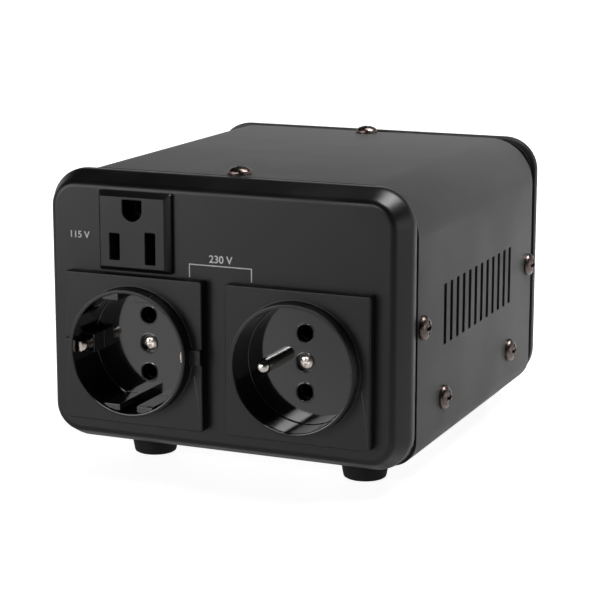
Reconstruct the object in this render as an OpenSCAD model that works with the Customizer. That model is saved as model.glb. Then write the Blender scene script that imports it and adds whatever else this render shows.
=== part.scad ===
// Desktop voltage converter: a transformer box with three mains outlets on its front.
// Millimetres. +X is to the right as seen from the front, the front faces -Y and +Z is up.
// The origin lies on the table, under the middle of the part.

/* [Case] */
// Width of the end mouldings
case_w = 125.4; // [122:0.2:150]
// Height of the end mouldings
case_h = 89.6; // [89:0.2:110]
// Length from the front plateau to the rear plateau
case_l = 144.6; // [142:0.2:180]
// Outer corner radius of the end mouldings
corner_r = 12; // [9:0.5:15]
// Width of the sloping shoulder around a plateau
shoulder_w = 4.3; // [3:0.1:5]
// Depth of the sloping shoulder
shoulder_d = 7.8; // [6:0.1:8.4]
// Radius of the shoulder's inner edge, at the plateau
brow_r = 2.6; // [1.5:0.1:3]
// Radius of the shoulder's outer edge, at the rim
edge_r = 3.9; // [2:0.1:4]
// Depth of a moulding's rim, from its plateau to the open joint
rim_d = 10.2; // [10:0.1:12]
// Thickness of the plateau
panel_t = 3; // [2:0.25:4]
// Thickness of the rim wall
rim_wall = 4; // [3.2:0.1:5]
// Length of the skirt behind the rim, which carries the cover
skirt_l = 12; // [10.5:0.5:16]

/* [Cover] */
// Sheet thickness of the cover
cover_t = 1; // [0.8:0.1:1.4]
// How far the cover lies inside the outline of the mouldings
cover_inset = 0.3; // [0.2:0.1:1]
// Outer bend radius of the cover
cover_bend_r = 16; // [12:0.5:20]
// Outer bend radius of the cover's lower edges, which fold in under the case
cover_low_r = 8.6; // [8:0.2:9.4]
// Open joint between a moulding's rim and the cover
reveal = 2.2; // [0.5:0.1:2.5]
// Number of vent slots in each side
vent_count = 12; // [6:1:13]
// Distance from vent slot to vent slot
vent_pitch = 6.2; // [4.5:0.1:6.8]
// Width of a vent slot
vent_w = 2.6; // [1.5:0.1:3.5]
// Height of a vent slot
vent_h = 20; // [10:0.5:26]

/* [Fasteners] */
// Thread diameter of the case screws
screw_d = 4; // [3:0.5:4.5]
// Head diameter of the case screws
head_d = 7.8; // [6.5:0.1:8.6]
// Head height of the case screws
head_h = 2.6; // [2:0.1:3.2]
// Length of the case screws under the head
screw_l = 9; // [6:0.5:10]
// Distance of the outer cover screws from the cover's front and rear edges
screw_inset = 4.4; // [4.2:0.1:6]
// Height of the lower side screws above the lowest line of the mouldings
low_screw_z = 17.6; // [15:0.2:20]
// Distance between the two lower side screws
low_screw_pitch = 70; // [50:1:84]
// Distance between the two screws that join the base plate to a moulding
base_screw_pitch = 32; // [24:1:36]

/* [Base and feet] */
// Height of the base plate above the lowest line of the mouldings
base_lift = 5; // [4:0.25:8]
// Sheet thickness of the base plate
base_t = 1.2; // [1:0.1:2]
// Outer bend radius between the base plate and its side flanges
base_bend_r = 4; // [3:0.25:4.5]
// Height of the base plate's side flanges
flange_h = 18; // [16:0.5:24]
// Clear height of the mouldings above the table
foot_show = 7; // [4:0.5:10]
// Upper diameter of a foot
foot_d = 16; // [14:0.5:18]
// Lower diameter of a foot
foot_tip_d = 14; // [12:0.2:16]
// Height of the tapered part of a foot
foot_taper_h = 6; // [3:0.5:8]
// Place of the left feet across the box
foot_left_x = -33.7; // [-46:0.1:-32]
// Place of the right feet across the box
foot_right_x = 41.9; // [34:0.1:46]
// Distance of a foot's middle from the nearer plateau
foot_inset = 21; // [20:0.5:24]

/* [Round sockets] */
// Distance between the middles of the two round sockets
socket_pitch = 57; // [51:0.1:60]
// Height of the socket middles, from the middle of the mouldings
socket_z = -11.6; // [-12.6:0.1:-11]
// Side of the square plate of a round socket
plate_w = 49; // [45:0.5:50]
// How far the plates stand out of the plateau
plate_proud = 3.8; // [2:0.1:5]
// Wall of the raised lip around a recess
lip_t = 1.3; // [0.8:0.1:2]
// Wall of the cup behind the plate
cup_wall = 2.2; // [1.5:0.1:3]
// Thickness of a recess floor
floor_t = 2.6; // [2.2:0.1:3.5]
// Diameter of the German type recess
german_recess_d = 39.2; // [38:0.1:40]
// How far the German type lip stands out of its plate
german_lip = 5; // [1:0.1:6]
// Depth of the German type recess, from the lip's front
german_depth = 16.2; // [12:0.1:18]
// Diameter of the French type recess
french_recess_d = 39.6; // [38:0.1:40]
// How far the French type lip stands out of its plate
french_lip = 4.7; // [1:0.1:6]
// Depth of the French type recess, from the lip's front
french_depth = 11.8; // [9:0.1:16]
// Distance between the two pin holes of a round socket
pin_pitch = 19; // [18:0.1:20]
// Diameter of a pin hole
pin_hole_d = 5.4; // [5.2:0.1:5.8]
// Diameter of the French type earth pin
earth_pin_d = 4.8; // [4:0.1:5]
// Distance of the earth pin from the middle of its socket
earth_pin_x = 10; // [9.5:0.1:10.5]
// How far the earth pin's tip lies behind the lip
earth_pin_back = 0.4; // [0.2:0.1:4]
// Depth of a socket's rear body
rear_body_l = 19; // [16:0.5:22]
// Outer diameter of a contact sleeve
sleeve_d = 6.8; // [6.4:0.1:7.2]
// Bore of a contact sleeve
sleeve_bore = 4.9; // [4.6:0.1:5.2]
// Length of a contact sleeve
sleeve_l = 12; // [9:0.5:14]
// Thickness of the German type earth strap
strap_t = 1; // [0.6:0.1:1.2]
// Width of the German type earth strap
strap_w = 4.6; // [3:0.1:5]
// Distance of an earth clip's inner face from the socket's middle
clip_x = 17.9; // [17.2:0.1:18]
// Height of the guide blocks in the German type recess
guide_h = 2.6; // [1.5:0.1:3.5]
// Width of the channel between two guide blocks
guide_gap = 6; // [4:0.2:8]
// Width over both guide blocks
guide_w = 17.4; // [12:0.2:18]
// Height of the side ribs on the German type plate
rib_h = 5; // [3:0.2:7]
// How far a side rib stands out of the plate
rib_proud = 1.2; // [0.6:0.1:2]
// Head diameter of the centre screws
small_head_d = 4.8; // [4.4:0.1:5.2]
// Thread diameter of the centre screws
small_screw_d = 3; // [2.5:0.1:3.2]

/* [Square outlet] */
// Side of the square outlet's housing
outlet_w = 25.8; // [24:0.1:26]
// Side of the square outlet's flat face
outlet_face_w = 22.7; // [21.5:0.1:23.5]
// How far the square outlet stands out of the plateau
outlet_proud = 3.3; // [2:0.1:5]
// Height of the outlet's straight side wall below its chamfer
outlet_wall_h = 1.3; // [0.6:0.1:1.8]
// Height of the outlet's middle, from the middle of the mouldings
outlet_z = 26.7; // [26.2:0.1:27.2]
// Depth of the outlet's body behind the plateau
outlet_l = 22; // [20:0.5:26]
// Distance between the two blade slots
blade_pitch = 12.7; // [12:0.1:13.4]
// Width of a blade slot
blade_slot_w = 3.6; // [3.2:0.1:4.2]
// Height of the line slot
line_slot_h = 8.5; // [7.5:0.1:9.5]
// Height of the neutral slot
neutral_slot_h = 10.1; // [9:0.1:10.6]
// Height of the earth hole's middle above the blade slots' middle
earth_hole_z = 11.9; // [11.5:0.1:12.2]
// Width of the earth hole
earth_hole_d = 6.8; // [6.2:0.1:7]

/* [Transformer] */
// Width of the core's middle leg
core_leg = 28; // [24:0.5:28]
// Thickness of the stack of laminations
core_stack = 40; // [32:1:42]
// Wall of the bobbin
bobbin_t = 1.2; // [1:0.1:1.6]
// Thickness of the insulating wrap
wrap_t = 0.5; // [0.3:0.1:0.8]
// Thickness of the angle brackets
bracket_t = 1.5; // [1:0.1:2]
// Depth of a bracket's foot
bracket_foot = 12; // [11:0.5:13]

/* [Rear fittings] */
// Distance of the mains inlet's middle from the left side of the mouldings
inlet_x = 32.7; // [30.5:0.1:35]
// Height of the mains inlet above the lowest line of the mouldings
inlet_z = 28; // [24:0.5:32]
// Distance between the inlet's two screws
inlet_screw_pitch = 40; // [39:0.2:41]
// Width of the inlet's hollow
inlet_hollow_w = 24.4; // [24:0.1:25]
// Height of the inlet's hollow
inlet_hollow_h = 16.8; // [16:0.1:17.2]
// Depth of the inlet's hollow
inlet_hollow_l = 17; // [16:0.5:18]
// Distance of the power switch's middle from the right side of the mouldings
switch_x = 29.7; // [24.5:0.1:34]
// Height of the power switch above the lowest line of the mouldings
switch_z = 61; // [60:0.5:64]
// Width of the power switch's bezel
switch_w = 25; // [23:0.5:26]
// Height of the power switch's bezel
switch_h = 31; // [29:0.5:32]
// Angle between the rocker's two positions
rocker_swing = 20; // [14:1:24]
// Distance of the voltage selector's middle from the left side of the mouldings
selector_x = 32.7; // [26:0.1:36]
// Height of the voltage selector above the lowest line of the mouldings
selector_z = 63; // [60:0.5:66]
// Travel of the selector's slider
selector_travel = 6.4; // [4:0.2:8]
// Distance of the fuse holder's middle from the right side of the mouldings
fuse_x = 22.7; // [18.5:0.1:24.5]
// Height of the fuse holder above the lowest line of the mouldings
fuse_z = 27; // [24:0.5:30]
// Diameter of the fuse cartridge
fuse_d = 5.2; // [5:0.1:5.4]
// Length of the fuse cartridge
fuse_l = 20; // [19:0.5:21]
// Length of the fuse cap's head
cap_h = 7.2; // [6:0.2:9]

/* [Hidden] */
$fn = 48;
// Clearances: free gap between neighbours, close gap of a fit, running gap of a turning fit
free_gap = 0.3;
close_gap = 0.15;
run_gap = 0.06;
// Length by which a cut passes a face, or a joined piece enters its neighbour
over = 0.6;
quarter = 90;
shoulder_steps = 5;
dome_steps = 6;

german_front = plate_proud + german_lip;
french_front = plate_proud + french_lip;
front_proud = max(german_front, french_front);
fuse_flange_t = 2;
rear_proud = fuse_flange_t + free_gap + cap_h;
front_y = -(case_l + rear_proud - front_proud) / 2;
rear_y = front_y + case_l;
mid_z = foot_show + case_h / 2;
base_z = foot_show + base_lift;
deck_z = base_z + base_t;

cover_w = case_w - 2 * cover_inset;
cover_top = foot_show + case_h - cover_inset;
cover_low = foot_show + cover_inset;
cover_y = front_y + rim_d + reveal;
cover_l = case_l - 2 * (rim_d + reveal);
cover_mid_y = cover_y + cover_l / 2;
cover_in = cover_w / 2 - cover_t;
skirt_half_w = cover_in - free_gap;
skirt_top = cover_top - cover_t - free_gap;
skirt_r = cover_bend_r - cover_t - free_gap;
skirt_t = rim_wall - (case_w / 2 - skirt_half_w);
skirt_low_z = 14;
end_screw_y = rim_d + reveal + screw_inset;
boss_wall = 3;
boss_end = 2;
boss_step = 1;
boss_w = screw_d + 2 * boss_wall;
boss_l = screw_l + boss_end;

plate_half = cover_in - close_gap;
flange_gap = 2;
flange_end = skirt_l + rim_d + flange_gap;

german_floor = german_depth - german_front;
french_floor = french_depth - french_front;
german_cup_r = german_recess_d / 2 + cup_wall;
french_cup_r = french_recess_d / 2 + cup_wall;
body_step = 1.2;
chamber_r = sleeve_d / 2 + free_gap;
screw_seat = 1.4;
seat_room = 0.7;
seat_d = small_head_d + 2 * seat_room;
small_screw_l = 12;
small_head_h = 1.2;
slit_w = 0.8;
slit_back = 2;
guide_back = 1;
arm_back = 4.6;
bump_r = 1.3;
tab_w = 2.8;
tab_t = 0.7;
tail_out = 4;
tab_in = 3;
earth_step = 0.6;
earth_flange_w = 1.6;
earth_neck_d = earth_pin_d - 2 * earth_step;
earth_flange_d = earth_pin_d + 2 * earth_flange_w;
earth_flange_t = 1.5;

outlet_flange = 0.75;
outlet_body = outlet_w - 2 * outlet_flange;
slot_z = -4.8;
leaf_t = 0.75;
leaf_in = 4;
contact_back = 2;
web_t = 1;
blade_tab_w = 4.8;
blade_tab_l = 8;

core_w = 3 * core_leg;
core_h = 2.5 * core_leg;
core_side = core_leg / 2;
window_h = core_h - core_leg;
core_mid_z = deck_z + core_h / 2;
bolt_x = core_w / 2 - core_side / 2;
bolt_d = 4;
bobbin_reach = core_side - 0.4;
bobbin_h = window_h - 2 * free_gap;
winding_h = bobbin_h - 2 * bobbin_t;
winding_back = 2;
bracket_h = core_side - 1;
bracket_end = 2;
cutout_w = 16;
cutout_h = 6;
cutout_t = 3.2;
stud_out = 8;
stud_rise = 6;
nut_h = 3;
thread_end = 1;
sink_room = 2;
nut_af = 7;
foot_screw_x = core_w / 2 - core_leg / 2;
foot_screw_in = 6.5;
foot_screw_y = core_stack / 2 + bracket_t + bracket_foot - foot_screw_in;

inlet_margin = 4.8;
inlet_flange_w = inlet_screw_pitch + 2 * inlet_margin;
inlet_flange_h = inlet_hollow_h + 2 * inlet_margin;
inlet_flange_t = 3;
inlet_wall = 1.6;
inlet_body_w = inlet_hollow_w + 2 * inlet_wall;
inlet_body_h = inlet_hollow_h + 2 * inlet_wall;
inlet_floor_t = 4;
inlet_l = inlet_hollow_l - inlet_flange_t + inlet_floor_t;
inlet_pin_w = 2;
inlet_pin_h = 4;
inlet_pin_pitch = 14;
inlet_pin_drop = 2;
inlet_pin_back = 3;
inlet_small_d = 3;
inlet_head_d = 5.6;
inlet_head_h = 1.9;
inlet_nut_af = 5.5;
inlet_nut_h = 2.4;
inlet_corner_r = 3;
inlet_chamfer = 4.6;

bezel_t = 2;
bezel_side = 1.7;
bezel_end = 2;
switch_body_w = switch_w - 2 * bezel_side;
switch_body_h = switch_h - 2 * bezel_end;
switch_wall = 1.5;
rocker_win_w = switch_body_w - 2 * switch_wall;
rocker_win_h = switch_body_h - 2 * switch_wall;
rocker_w = rocker_win_w - 2 * free_gap;
rocker_r = rocker_win_h / 2 - free_gap;
pivot_y = 4;
pivot_r = 1.5;
rocker_end = 2.6;
rocker_mid = 0.4;
rocker_back = 6;
switch_hollow = 10;
switch_l = 22;
switch_tab_x = 5;
switch_tab_z = 7;
tab_step = 1;
bezel_r = 1.5;

selector_knob_w = 9;
selector_knob_h = 5.8;
knob_back = 0.4;
notch_w = 1.4;
notch_d = 1.6;
selector_win_w = selector_knob_w + selector_travel + 2 * free_gap;
selector_win_h = selector_knob_h + 2 * free_gap;
selector_side = 4;
selector_rim = 2.5;
selector_body_w = selector_win_w + 2 * selector_side;
selector_body_h = selector_win_h + 2 * selector_rim;
selector_bezel = 2;
selector_bezel_t = 1.2;
selector_l = 13;
selector_hollow = 5;

fuse_bore = 10;
fuse_tube_d = 12.4;
fuse_flange_d = 17;
fuse_holder_l = 34;
fuse_end_t = 3;
fuse_in = 1;
cap_d = 14.4;
cap_stem_l = 10;
cap_slot_w = 8;
cap_slot_h = 1.4;
cap_slot_d = 1.8;
flute_r = 1;
flute_out = 0.4;
flute_end = 1.6;
fuse_glass_in = 0.25;
fuse_end_l = 5.5;
fuse_nut_af = 16;
fuse_nut_h = 3.5;

wire_d = 2.4;
wire_sides = 8;
wire_steps = 3;
// Gap between a wire's end and what it joins, and its straight lead there
wire_gap = 0.1;
wire_lead = 2;
// Places on the wrap where the wires join the winding, from its middle
join_near_x = 12;
join_far_x = 18;
join_low_z = 2.8;
join_high_z = 12.8;

// Places

module at_front() { translate([0, front_y, 0]) children(); }
module at_rear() { translate([0, rear_y, 0]) mirror([0, 1, 0]) children(); }
module at_german() { at_front() translate([-socket_pitch / 2, 0, mid_z + socket_z]) children(); }
module at_french() { at_front() translate([socket_pitch / 2, 0, mid_z + socket_z]) children(); }
module at_outlet() { at_front() translate([-socket_pitch / 2, 0, mid_z + outlet_z]) children(); }
module at_inlet() { at_rear() translate([inlet_x - case_w / 2, 0, foot_show + inlet_z]) children(); }
module at_switch() { at_rear() translate([case_w / 2 - switch_x, 0, foot_show + switch_z]) children(); }
module at_selector() { at_rear() translate([selector_x - case_w / 2, 0, foot_show + selector_z]) children(); }
module at_fuse() { at_rear() translate([case_w / 2 - fuse_x, 0, foot_show + fuse_z]) children(); }
module at_ends() { at_front() children(); at_rear() children(); }

// Basic shapes

module y_prism(y0, l) { translate([0, y0 + l, 0]) rotate([90, 0, 0]) linear_extrude(l) children(); }
module x_prism(x0, l) { translate([x0, 0, 0]) rotate([90, 0, 90]) linear_extrude(l) children(); }
module y_rod(y0, l, r) { translate([0, y0, 0]) rotate([-90, 0, 0]) cylinder(h = l, r = r); }
module x_rod(x0, l, r) { translate([x0, 0, 0]) rotate([0, 90, 0]) cylinder(h = l, r = r); }
module y_box(w, y0, l, h) { translate([-w / 2, y0, -h / 2]) cube([w, l, h]); }

module rounded(w, h, r) {
    square([w - 2 * r, h], center = true);
    square([w, h - 2 * r], center = true);
    for (sx = [-1, 1], sz = [-1, 1]) translate([sx * (w / 2 - r), sz * (h / 2 - r)]) circle(r);
}

// Arch with two rounded upper corners, from z = low up to z = top
module arch(w, low, top, r) {
    translate([-w / 2, low]) square([w, top - r - low]);
    translate([r - w / 2, low]) square([w - 2 * r, top - low]);
    for (s = [-1, 1]) translate([s * (w / 2 - r), top - r]) circle(r);
}

// Tray with two rounded lower corners, from z = low up to z = top
module tray(w, low, top, r) {
    translate([-w / 2, low + r]) square([w, top - low - r]);
    translate([r - w / 2, low]) square([w - 2 * r, top - low]);
    for (s = [-1, 1]) translate([s * (w / 2 - r), low + r]) circle(r);
}

// Sleeve whose upper and lower corners are rounded by different radii
module sleeve(w, low, top, r, low_r) {
    arch(w, low + low_r, top, r);
    tray(w, low, top - r, low_r);
}

// Screw along Z with its head's underside at z = 0
module pan_screw(d, l, hd, hh) {
    edge = 0.25 * hh;
    cross_w = 0.6 * hd;
    cross_t = 0.14 * hd;
    cross_floor = 0.45 * hh;
    dome = [
        for (i = [0:dome_steps]) let(t = quarter * i / dome_steps)
            [hd / 2 * cos(t), edge + (hh - edge) * sin(t)]
    ];
    difference() {
        union() {
            rotate_extrude() polygon(concat([[0, 0], [hd / 2, 0]], dome));
            translate([0, 0, -l]) cylinder(h = l + edge, d = d);
        }
        for (a = [0, 90]) rotate(a) translate([-cross_w / 2, -cross_t / 2, cross_floor])
            cube([cross_w, cross_t, hh]);
    }
}

module hex_nut(d, af, h) {
    difference() {
        cylinder(h = h, d = af / cos(30), $fn = 6);
        translate([0, 0, -over]) cylinder(h = h + 2 * over, d = d + 2 * run_gap);
    }
}

// End mouldings

// Shoulder line in [distance from the middle, depth], ending at distance r: a slope with rounded edges
function shoulder(r) =
    let(
        tilt = atan2(shoulder_d, shoulder_w),
        brow = brow_r * tan(tilt / 2),
        edge = edge_r * tan((quarter - tilt) / 2)
    )
    concat(
        [for (i = [0:shoulder_steps]) let(t = tilt * i / shoulder_steps)
            [r - shoulder_w - brow + brow_r * sin(t), brow_r * (1 - cos(t))]],
        [for (i = [0:shoulder_steps]) let(t = tilt + (quarter - tilt) * i / shoulder_steps)
            [r - edge_r + edge_r * sin(t), shoulder_d + edge - edge_r * cos(t)]]
    );
function swapped(p) = [for (v = p) [v[1], v[0]]];
function reversed(p) = [for (i = [len(p) - 1:-1:0]) p[i]];

module moulding_solid() {
    hw = case_w / 2;
    hh = case_h / 2;
    cx = hw - corner_r;
    cz = hh - corner_r;
    right = concat(shoulder(hw), [[hw, rim_d]]);
    left = [for (v = reversed(right)) [-v[0], v[1]]];
    translate([0, 0, mid_z - cz]) linear_extrude(2 * cz) polygon(concat(right, left));
    for (s = [0, 1]) translate([0, 0, mid_z]) mirror([0, 0, s]) {
        x_prism(-cx, 2 * cx) polygon(concat([[0, cz]], swapped(shoulder(hh)), [[rim_d, hh], [rim_d, cz]]));
        for (sx = [0, 1]) mirror([sx, 0, 0]) translate([cx, 0, -cz]) rotate([-90, 0, 0])
            rotate_extrude(angle = 90)
                polygon(concat([[0, 0]], shoulder(corner_r), [[corner_r, rim_d], [0, rim_d]]));
    }
}

module skirt() {
    difference() {
        y_prism(rim_d - over, skirt_l + over) difference() {
            arch(2 * skirt_half_w, foot_show + skirt_low_z, skirt_top, skirt_r);
            arch(2 * (skirt_half_w - skirt_t), foot_show, skirt_top - skirt_t, skirt_r - skirt_t);
        }
        moulding_cavity();
    }
}

module moulding_cavity() {
    translate([0, 0, mid_z]) y_prism(panel_t, rim_d - panel_t)
        rounded(case_w - 2 * rim_wall, case_h - 2 * rim_wall, corner_r - rim_wall);
}

module skirt_bosses() {
    for (s = [0, 1]) mirror([s, 0, 0])
        translate([skirt_half_w - boss_l, rim_d - over, mid_z - boss_w / 2])
            cube([boss_l, skirt_l + over, boss_w]);
    translate([-boss_w / 2, rim_d - over, skirt_top - boss_l]) cube([boss_w, skirt_l + over, boss_l]);
    for (s = [-1, 1])
        translate([s * base_screw_pitch / 2 - boss_w / 2, panel_t, foot_show + boss_step])
            cube([boss_w, rim_d + boss_w + boss_step - panel_t, base_lift - boss_step]);
}

module moulding() {
    pilot = screw_d / 2 + run_gap;
    difference() {
        union() {
            difference() {
                moulding_solid();
                moulding_cavity();
            }
            skirt();
            skirt_bosses();
        }
        for (s = [0, 1]) mirror([s, 0, 0])
            translate([0, end_screw_y, mid_z]) x_rod(skirt_half_w - boss_l - over, boss_l + 2 * over, pilot);
        translate([0, end_screw_y, skirt_top - boss_l - over]) cylinder(h = boss_l + 2 * over, r = pilot);
        for (s = [-1, 1]) translate([s * base_screw_pitch / 2, base_screw_y(), foot_show])
            cylinder(h = base_lift + over, r = pilot);
    }
}

function base_screw_y() = rim_d + boss_w / 2 + boss_step;

// Cuts through a moulding, from its plateau to the end of its skirt, for a body of the given size
cut_l = rim_d + skirt_l + 2 * over;
module panel_cut(w, h) { y_box(w + 2 * close_gap, -over, cut_l, h + 2 * close_gap); }
module round_cut(r) { y_rod(-over, cut_l, r); }

module front_panel() {
    color([0.13, 0.13, 0.135]) difference() {
        at_front() moulding();
        at_outlet() panel_cut(outlet_body, outlet_body);
        at_german() round_cut(german_cup_r + free_gap);
        at_french() round_cut(french_cup_r + free_gap);
    }
}

module rear_panel() {
    color([0.13, 0.13, 0.135]) difference() {
        at_rear() moulding();
        at_inlet() {
            panel_cut(inlet_body_w, inlet_body_h);
            for (s = [-1, 1]) translate([s * inlet_screw_pitch / 2, 0, 0])
                round_cut(inlet_small_d / 2 + close_gap);
        }
        at_switch() panel_cut(switch_body_w, switch_body_h);
        at_selector() panel_cut(selector_body_w, selector_body_h);
        at_fuse() round_cut(fuse_tube_d / 2 + close_gap);
    }
}

// Cover, base plate and feet

module at_low_screws() {
    for (s = [-1, 1])
        translate([0, cover_mid_y + s * low_screw_pitch / 2, foot_show + low_screw_z]) children();
}
module at_end_screws() {
    for (s = [-1, 1]) translate([0, cover_mid_y + s * (cover_l / 2 - screw_inset), 0]) children();
}

module cover() {
    hole_r = screw_d / 2 + close_gap;
    color([0.30, 0.30, 0.31]) difference() {
        y_prism(cover_y, cover_l) difference() {
            sleeve(cover_w, cover_low, cover_top, cover_bend_r, cover_low_r);
            sleeve(2 * cover_in, cover_low + cover_t, cover_top - cover_t, cover_bend_r - cover_t, cover_low_r - cover_t);
            translate([cover_low_r - cover_w / 2, cover_low - over])
                square([cover_w - 2 * cover_low_r, cover_t + 2 * over]);
        }
        for (i = [0:vent_count - 1])
            translate([0, cover_mid_y + (i - (vent_count - 1) / 2) * vent_pitch, mid_z])
                cube([cover_w + 2 * over, vent_w, vent_h], center = true);
        at_low_screws() x_rod(-cover_w / 2 - over, cover_w + 2 * over, hole_r);
        at_end_screws() {
            translate([0, 0, mid_z]) x_rod(-cover_w / 2 - over, cover_w + 2 * over, hole_r);
            translate([0, 0, cover_top - cover_t - over]) cylinder(h = cover_t + 2 * over, r = hole_r);
        }
    }
}

module at_feet() {
    for (x = [foot_left_x, foot_right_x]) at_ends() translate([x, foot_inset, 0]) children();
}

module base_plate() {
    pilot = screw_d / 2 + run_gap;
    color([0.62, 0.63, 0.64]) difference() {
        union() {
            translate([base_bend_r - plate_half, cover_y, base_z])
                cube([2 * (plate_half - base_bend_r), cover_l, base_t]);
            y_prism(front_y + flange_end, case_l - 2 * flange_end) difference() {
                tray(2 * plate_half, base_z, base_z + flange_h, base_bend_r);
                tray(2 * (plate_half - base_t), deck_z, base_z + flange_h + over, base_bend_r - base_t);
            }
        }
        at_feet() translate([0, 0, base_z - over]) cylinder(h = base_t + 2 * over, r = pilot);
        at_ends() for (s = [-1, 1]) translate([s * base_screw_pitch / 2, base_screw_y(), base_z - over])
            cylinder(h = base_t + 2 * over, r = pilot);
        at_transformer_screws() translate([0, 0, base_z - over]) cylinder(h = base_t + 2 * over, r = pilot);
        at_low_screws() x_rod(-plate_half - over, 2 * (plate_half + over), pilot);
        at_earth_stud() translate([0, 0, base_z - over]) cylinder(h = base_t + 2 * over, r = pilot);
    }
}

module cover_side_screws() {
    color([0.20, 0.17, 0.15]) for (s = [-1, 1]) {
        at_end_screws() translate([s * cover_w / 2, 0, mid_z]) rotate([0, s * 90, 0])
            pan_screw(screw_d, screw_l, head_d, head_h);
        at_low_screws() translate([s * cover_w / 2, 0, 0]) rotate([0, s * 90, 0])
            pan_screw(screw_d, screw_l, head_d, head_h);
    }
}

module cover_top_screws() {
    color([0.20, 0.17, 0.15]) at_end_screws() translate([0, 0, cover_top])
        pan_screw(screw_d, screw_l, head_d, head_h);
}

module base_screws() {
    color([0.70, 0.70, 0.68]) at_ends() for (s = [-1, 1])
        translate([s * base_screw_pitch / 2, base_screw_y(), deck_z])
            pan_screw(screw_d, base_lift, head_d, head_h);
}

// Foot with a sunk screw hole, standing on z = 0
module foot() {
    sink_r = head_d / 2 + close_gap;
    sink_h = head_h + sink_room;
    color([0.05, 0.05, 0.05]) rotate_extrude() polygon([
        [sink_r, 0], [foot_tip_d / 2, 0], [foot_d / 2, foot_taper_h], [foot_d / 2, base_z],
        [screw_d / 2 + close_gap, base_z], [screw_d / 2 + close_gap, sink_h], [sink_r, sink_h]
    ]);
}

module foot_front_left() { at_front() translate([foot_left_x, foot_inset, 0]) foot(); }
module foot_front_right() { at_front() translate([foot_right_x, foot_inset, 0]) foot(); }
module foot_rear_left() { at_rear() translate([foot_left_x, foot_inset, 0]) foot(); }
module foot_rear_right() { at_rear() translate([foot_right_x, foot_inset, 0]) foot(); }

module foot_screws() {
    sink_h = head_h + sink_room;
    color([0.70, 0.70, 0.68]) at_feet() translate([0, 0, sink_h]) rotate([180, 0, 0])
        pan_screw(screw_d, deck_z + nut_h + thread_end - sink_h, head_d, head_h);
}
// Room over the end of a foot's screw and around its nut
module foot_nut_room() {
    at_feet() translate([0, 0, deck_z])
        cylinder(h = nut_h + thread_end + free_gap, r = nut_af / 2 / cos(30) + free_gap);
}
module foot_nuts() {
    color([0.70, 0.70, 0.68]) at_feet() translate([0, 0, deck_z]) hex_nut(screw_d, nut_af, nut_h);
}

// Square outlet, in its own frame: x and z from its middle, y inwards from the plateau

module outlet_front() {
    h = outlet_w / 2;
    f = outlet_face_w / 2;
    side = [
        [-h, 0], [-h, -outlet_wall_h], [-f, -outlet_proud], [f, -outlet_proud], [h, -outlet_wall_h], [h, 0]
    ];
    intersection() {
        translate([0, 0, -h]) linear_extrude(2 * h) polygon(side);
        x_prism(-h, 2 * h) polygon(swapped(side));
    }
}

module at_line_slot() { translate([-blade_pitch / 2, 0, slot_z]) children(); }
module at_neutral_slot() { translate([blade_pitch / 2, 0, slot_z]) children(); }
module at_earth_hole() { translate([0, 0, slot_z + earth_hole_z]) children(); }

module outlet_housing() {
    through = outlet_proud + outlet_l + 2 * over;
    color([0.12, 0.12, 0.12]) at_outlet() difference() {
        union() {
            outlet_front();
            y_box(outlet_body, -over / 2, outlet_l + over / 2, outlet_body);
        }
        at_line_slot() y_box(blade_slot_w, -outlet_proud - over, through, line_slot_h);
        at_neutral_slot() y_box(blade_slot_w, -outlet_proud - over, through, neutral_slot_h);
        at_earth_hole() {
            y_rod(-outlet_proud - over, through, earth_hole_d / 2);
            translate([-earth_hole_d / 2, -outlet_proud - over, 0])
                cube([earth_hole_d, through, earth_hole_d / 2]);
        }
    }
}

// Two leaves that grip a blade, joined at the back, with a tab behind the housing
module blade_contact(slot_h) {
    half = blade_slot_w / 2 - free_gap;
    h = slot_h - 2 * free_gap;
    back = outlet_l - contact_back;
    color([0.80, 0.62, 0.28]) {
        for (s = [0, 1]) mirror([s, 0, 0])
            translate([half - leaf_t, leaf_in, -h / 2]) cube([leaf_t, back - leaf_in, h]);
        y_box(2 * half, back - web_t, web_t, h);
        y_box(tab_t, back - over, outlet_l - back + over + blade_tab_l, blade_tab_w);
    }
}

module outlet_line_contact() { at_outlet() at_line_slot() blade_contact(line_slot_h); }
module outlet_neutral_contact() { at_outlet() at_neutral_slot() blade_contact(neutral_slot_h); }
module outlet_earth_contact() {
    back = outlet_l - contact_back;
    r = earth_hole_d / 2 - free_gap;
    color([0.80, 0.62, 0.28]) at_outlet() at_earth_hole() {
        difference() {
            y_rod(leaf_in, back - leaf_in, r);
            y_rod(leaf_in - over, back - leaf_in - web_t + over, r - leaf_t);
        }
        y_box(blade_tab_w, back - over, outlet_l - back + over + blade_tab_l, tab_t);
    }
}

// Round sockets, in their own frame: x and z from the middle, y inwards from the plateau

module socket_shell(recess_d, lip, floor_y, cup_r) {
    front = -plate_proud - lip;
    difference() {
        union() {
            y_prism(-plate_proud, plate_proud) square(plate_w, center = true);
            y_rod(front, lip + over, recess_d / 2 + lip_t);
            y_rod(-over, floor_y + floor_t + over, cup_r);
        }
        y_rod(front - over, floor_y - front + over, recess_d / 2);
        y_rod(floor_y - over, screw_seat + over, seat_d / 2);
        y_rod(floor_y, floor_t + over, small_screw_d / 2 + close_gap);
    }
}

module at_pins() { for (s = [-1, 1]) translate([0, 0, s * pin_pitch / 2]) children(); }

module rear_body(floor_y, r) {
    y0 = floor_y + floor_t;
    difference() {
        y_rod(y0, rear_body_l, r);
        at_pins() y_rod(y0 - over, rear_body_l + 2 * over, chamber_r);
        y_rod(y0 - over, small_screw_l + over, small_screw_d / 2 + run_gap);
    }
}

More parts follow.
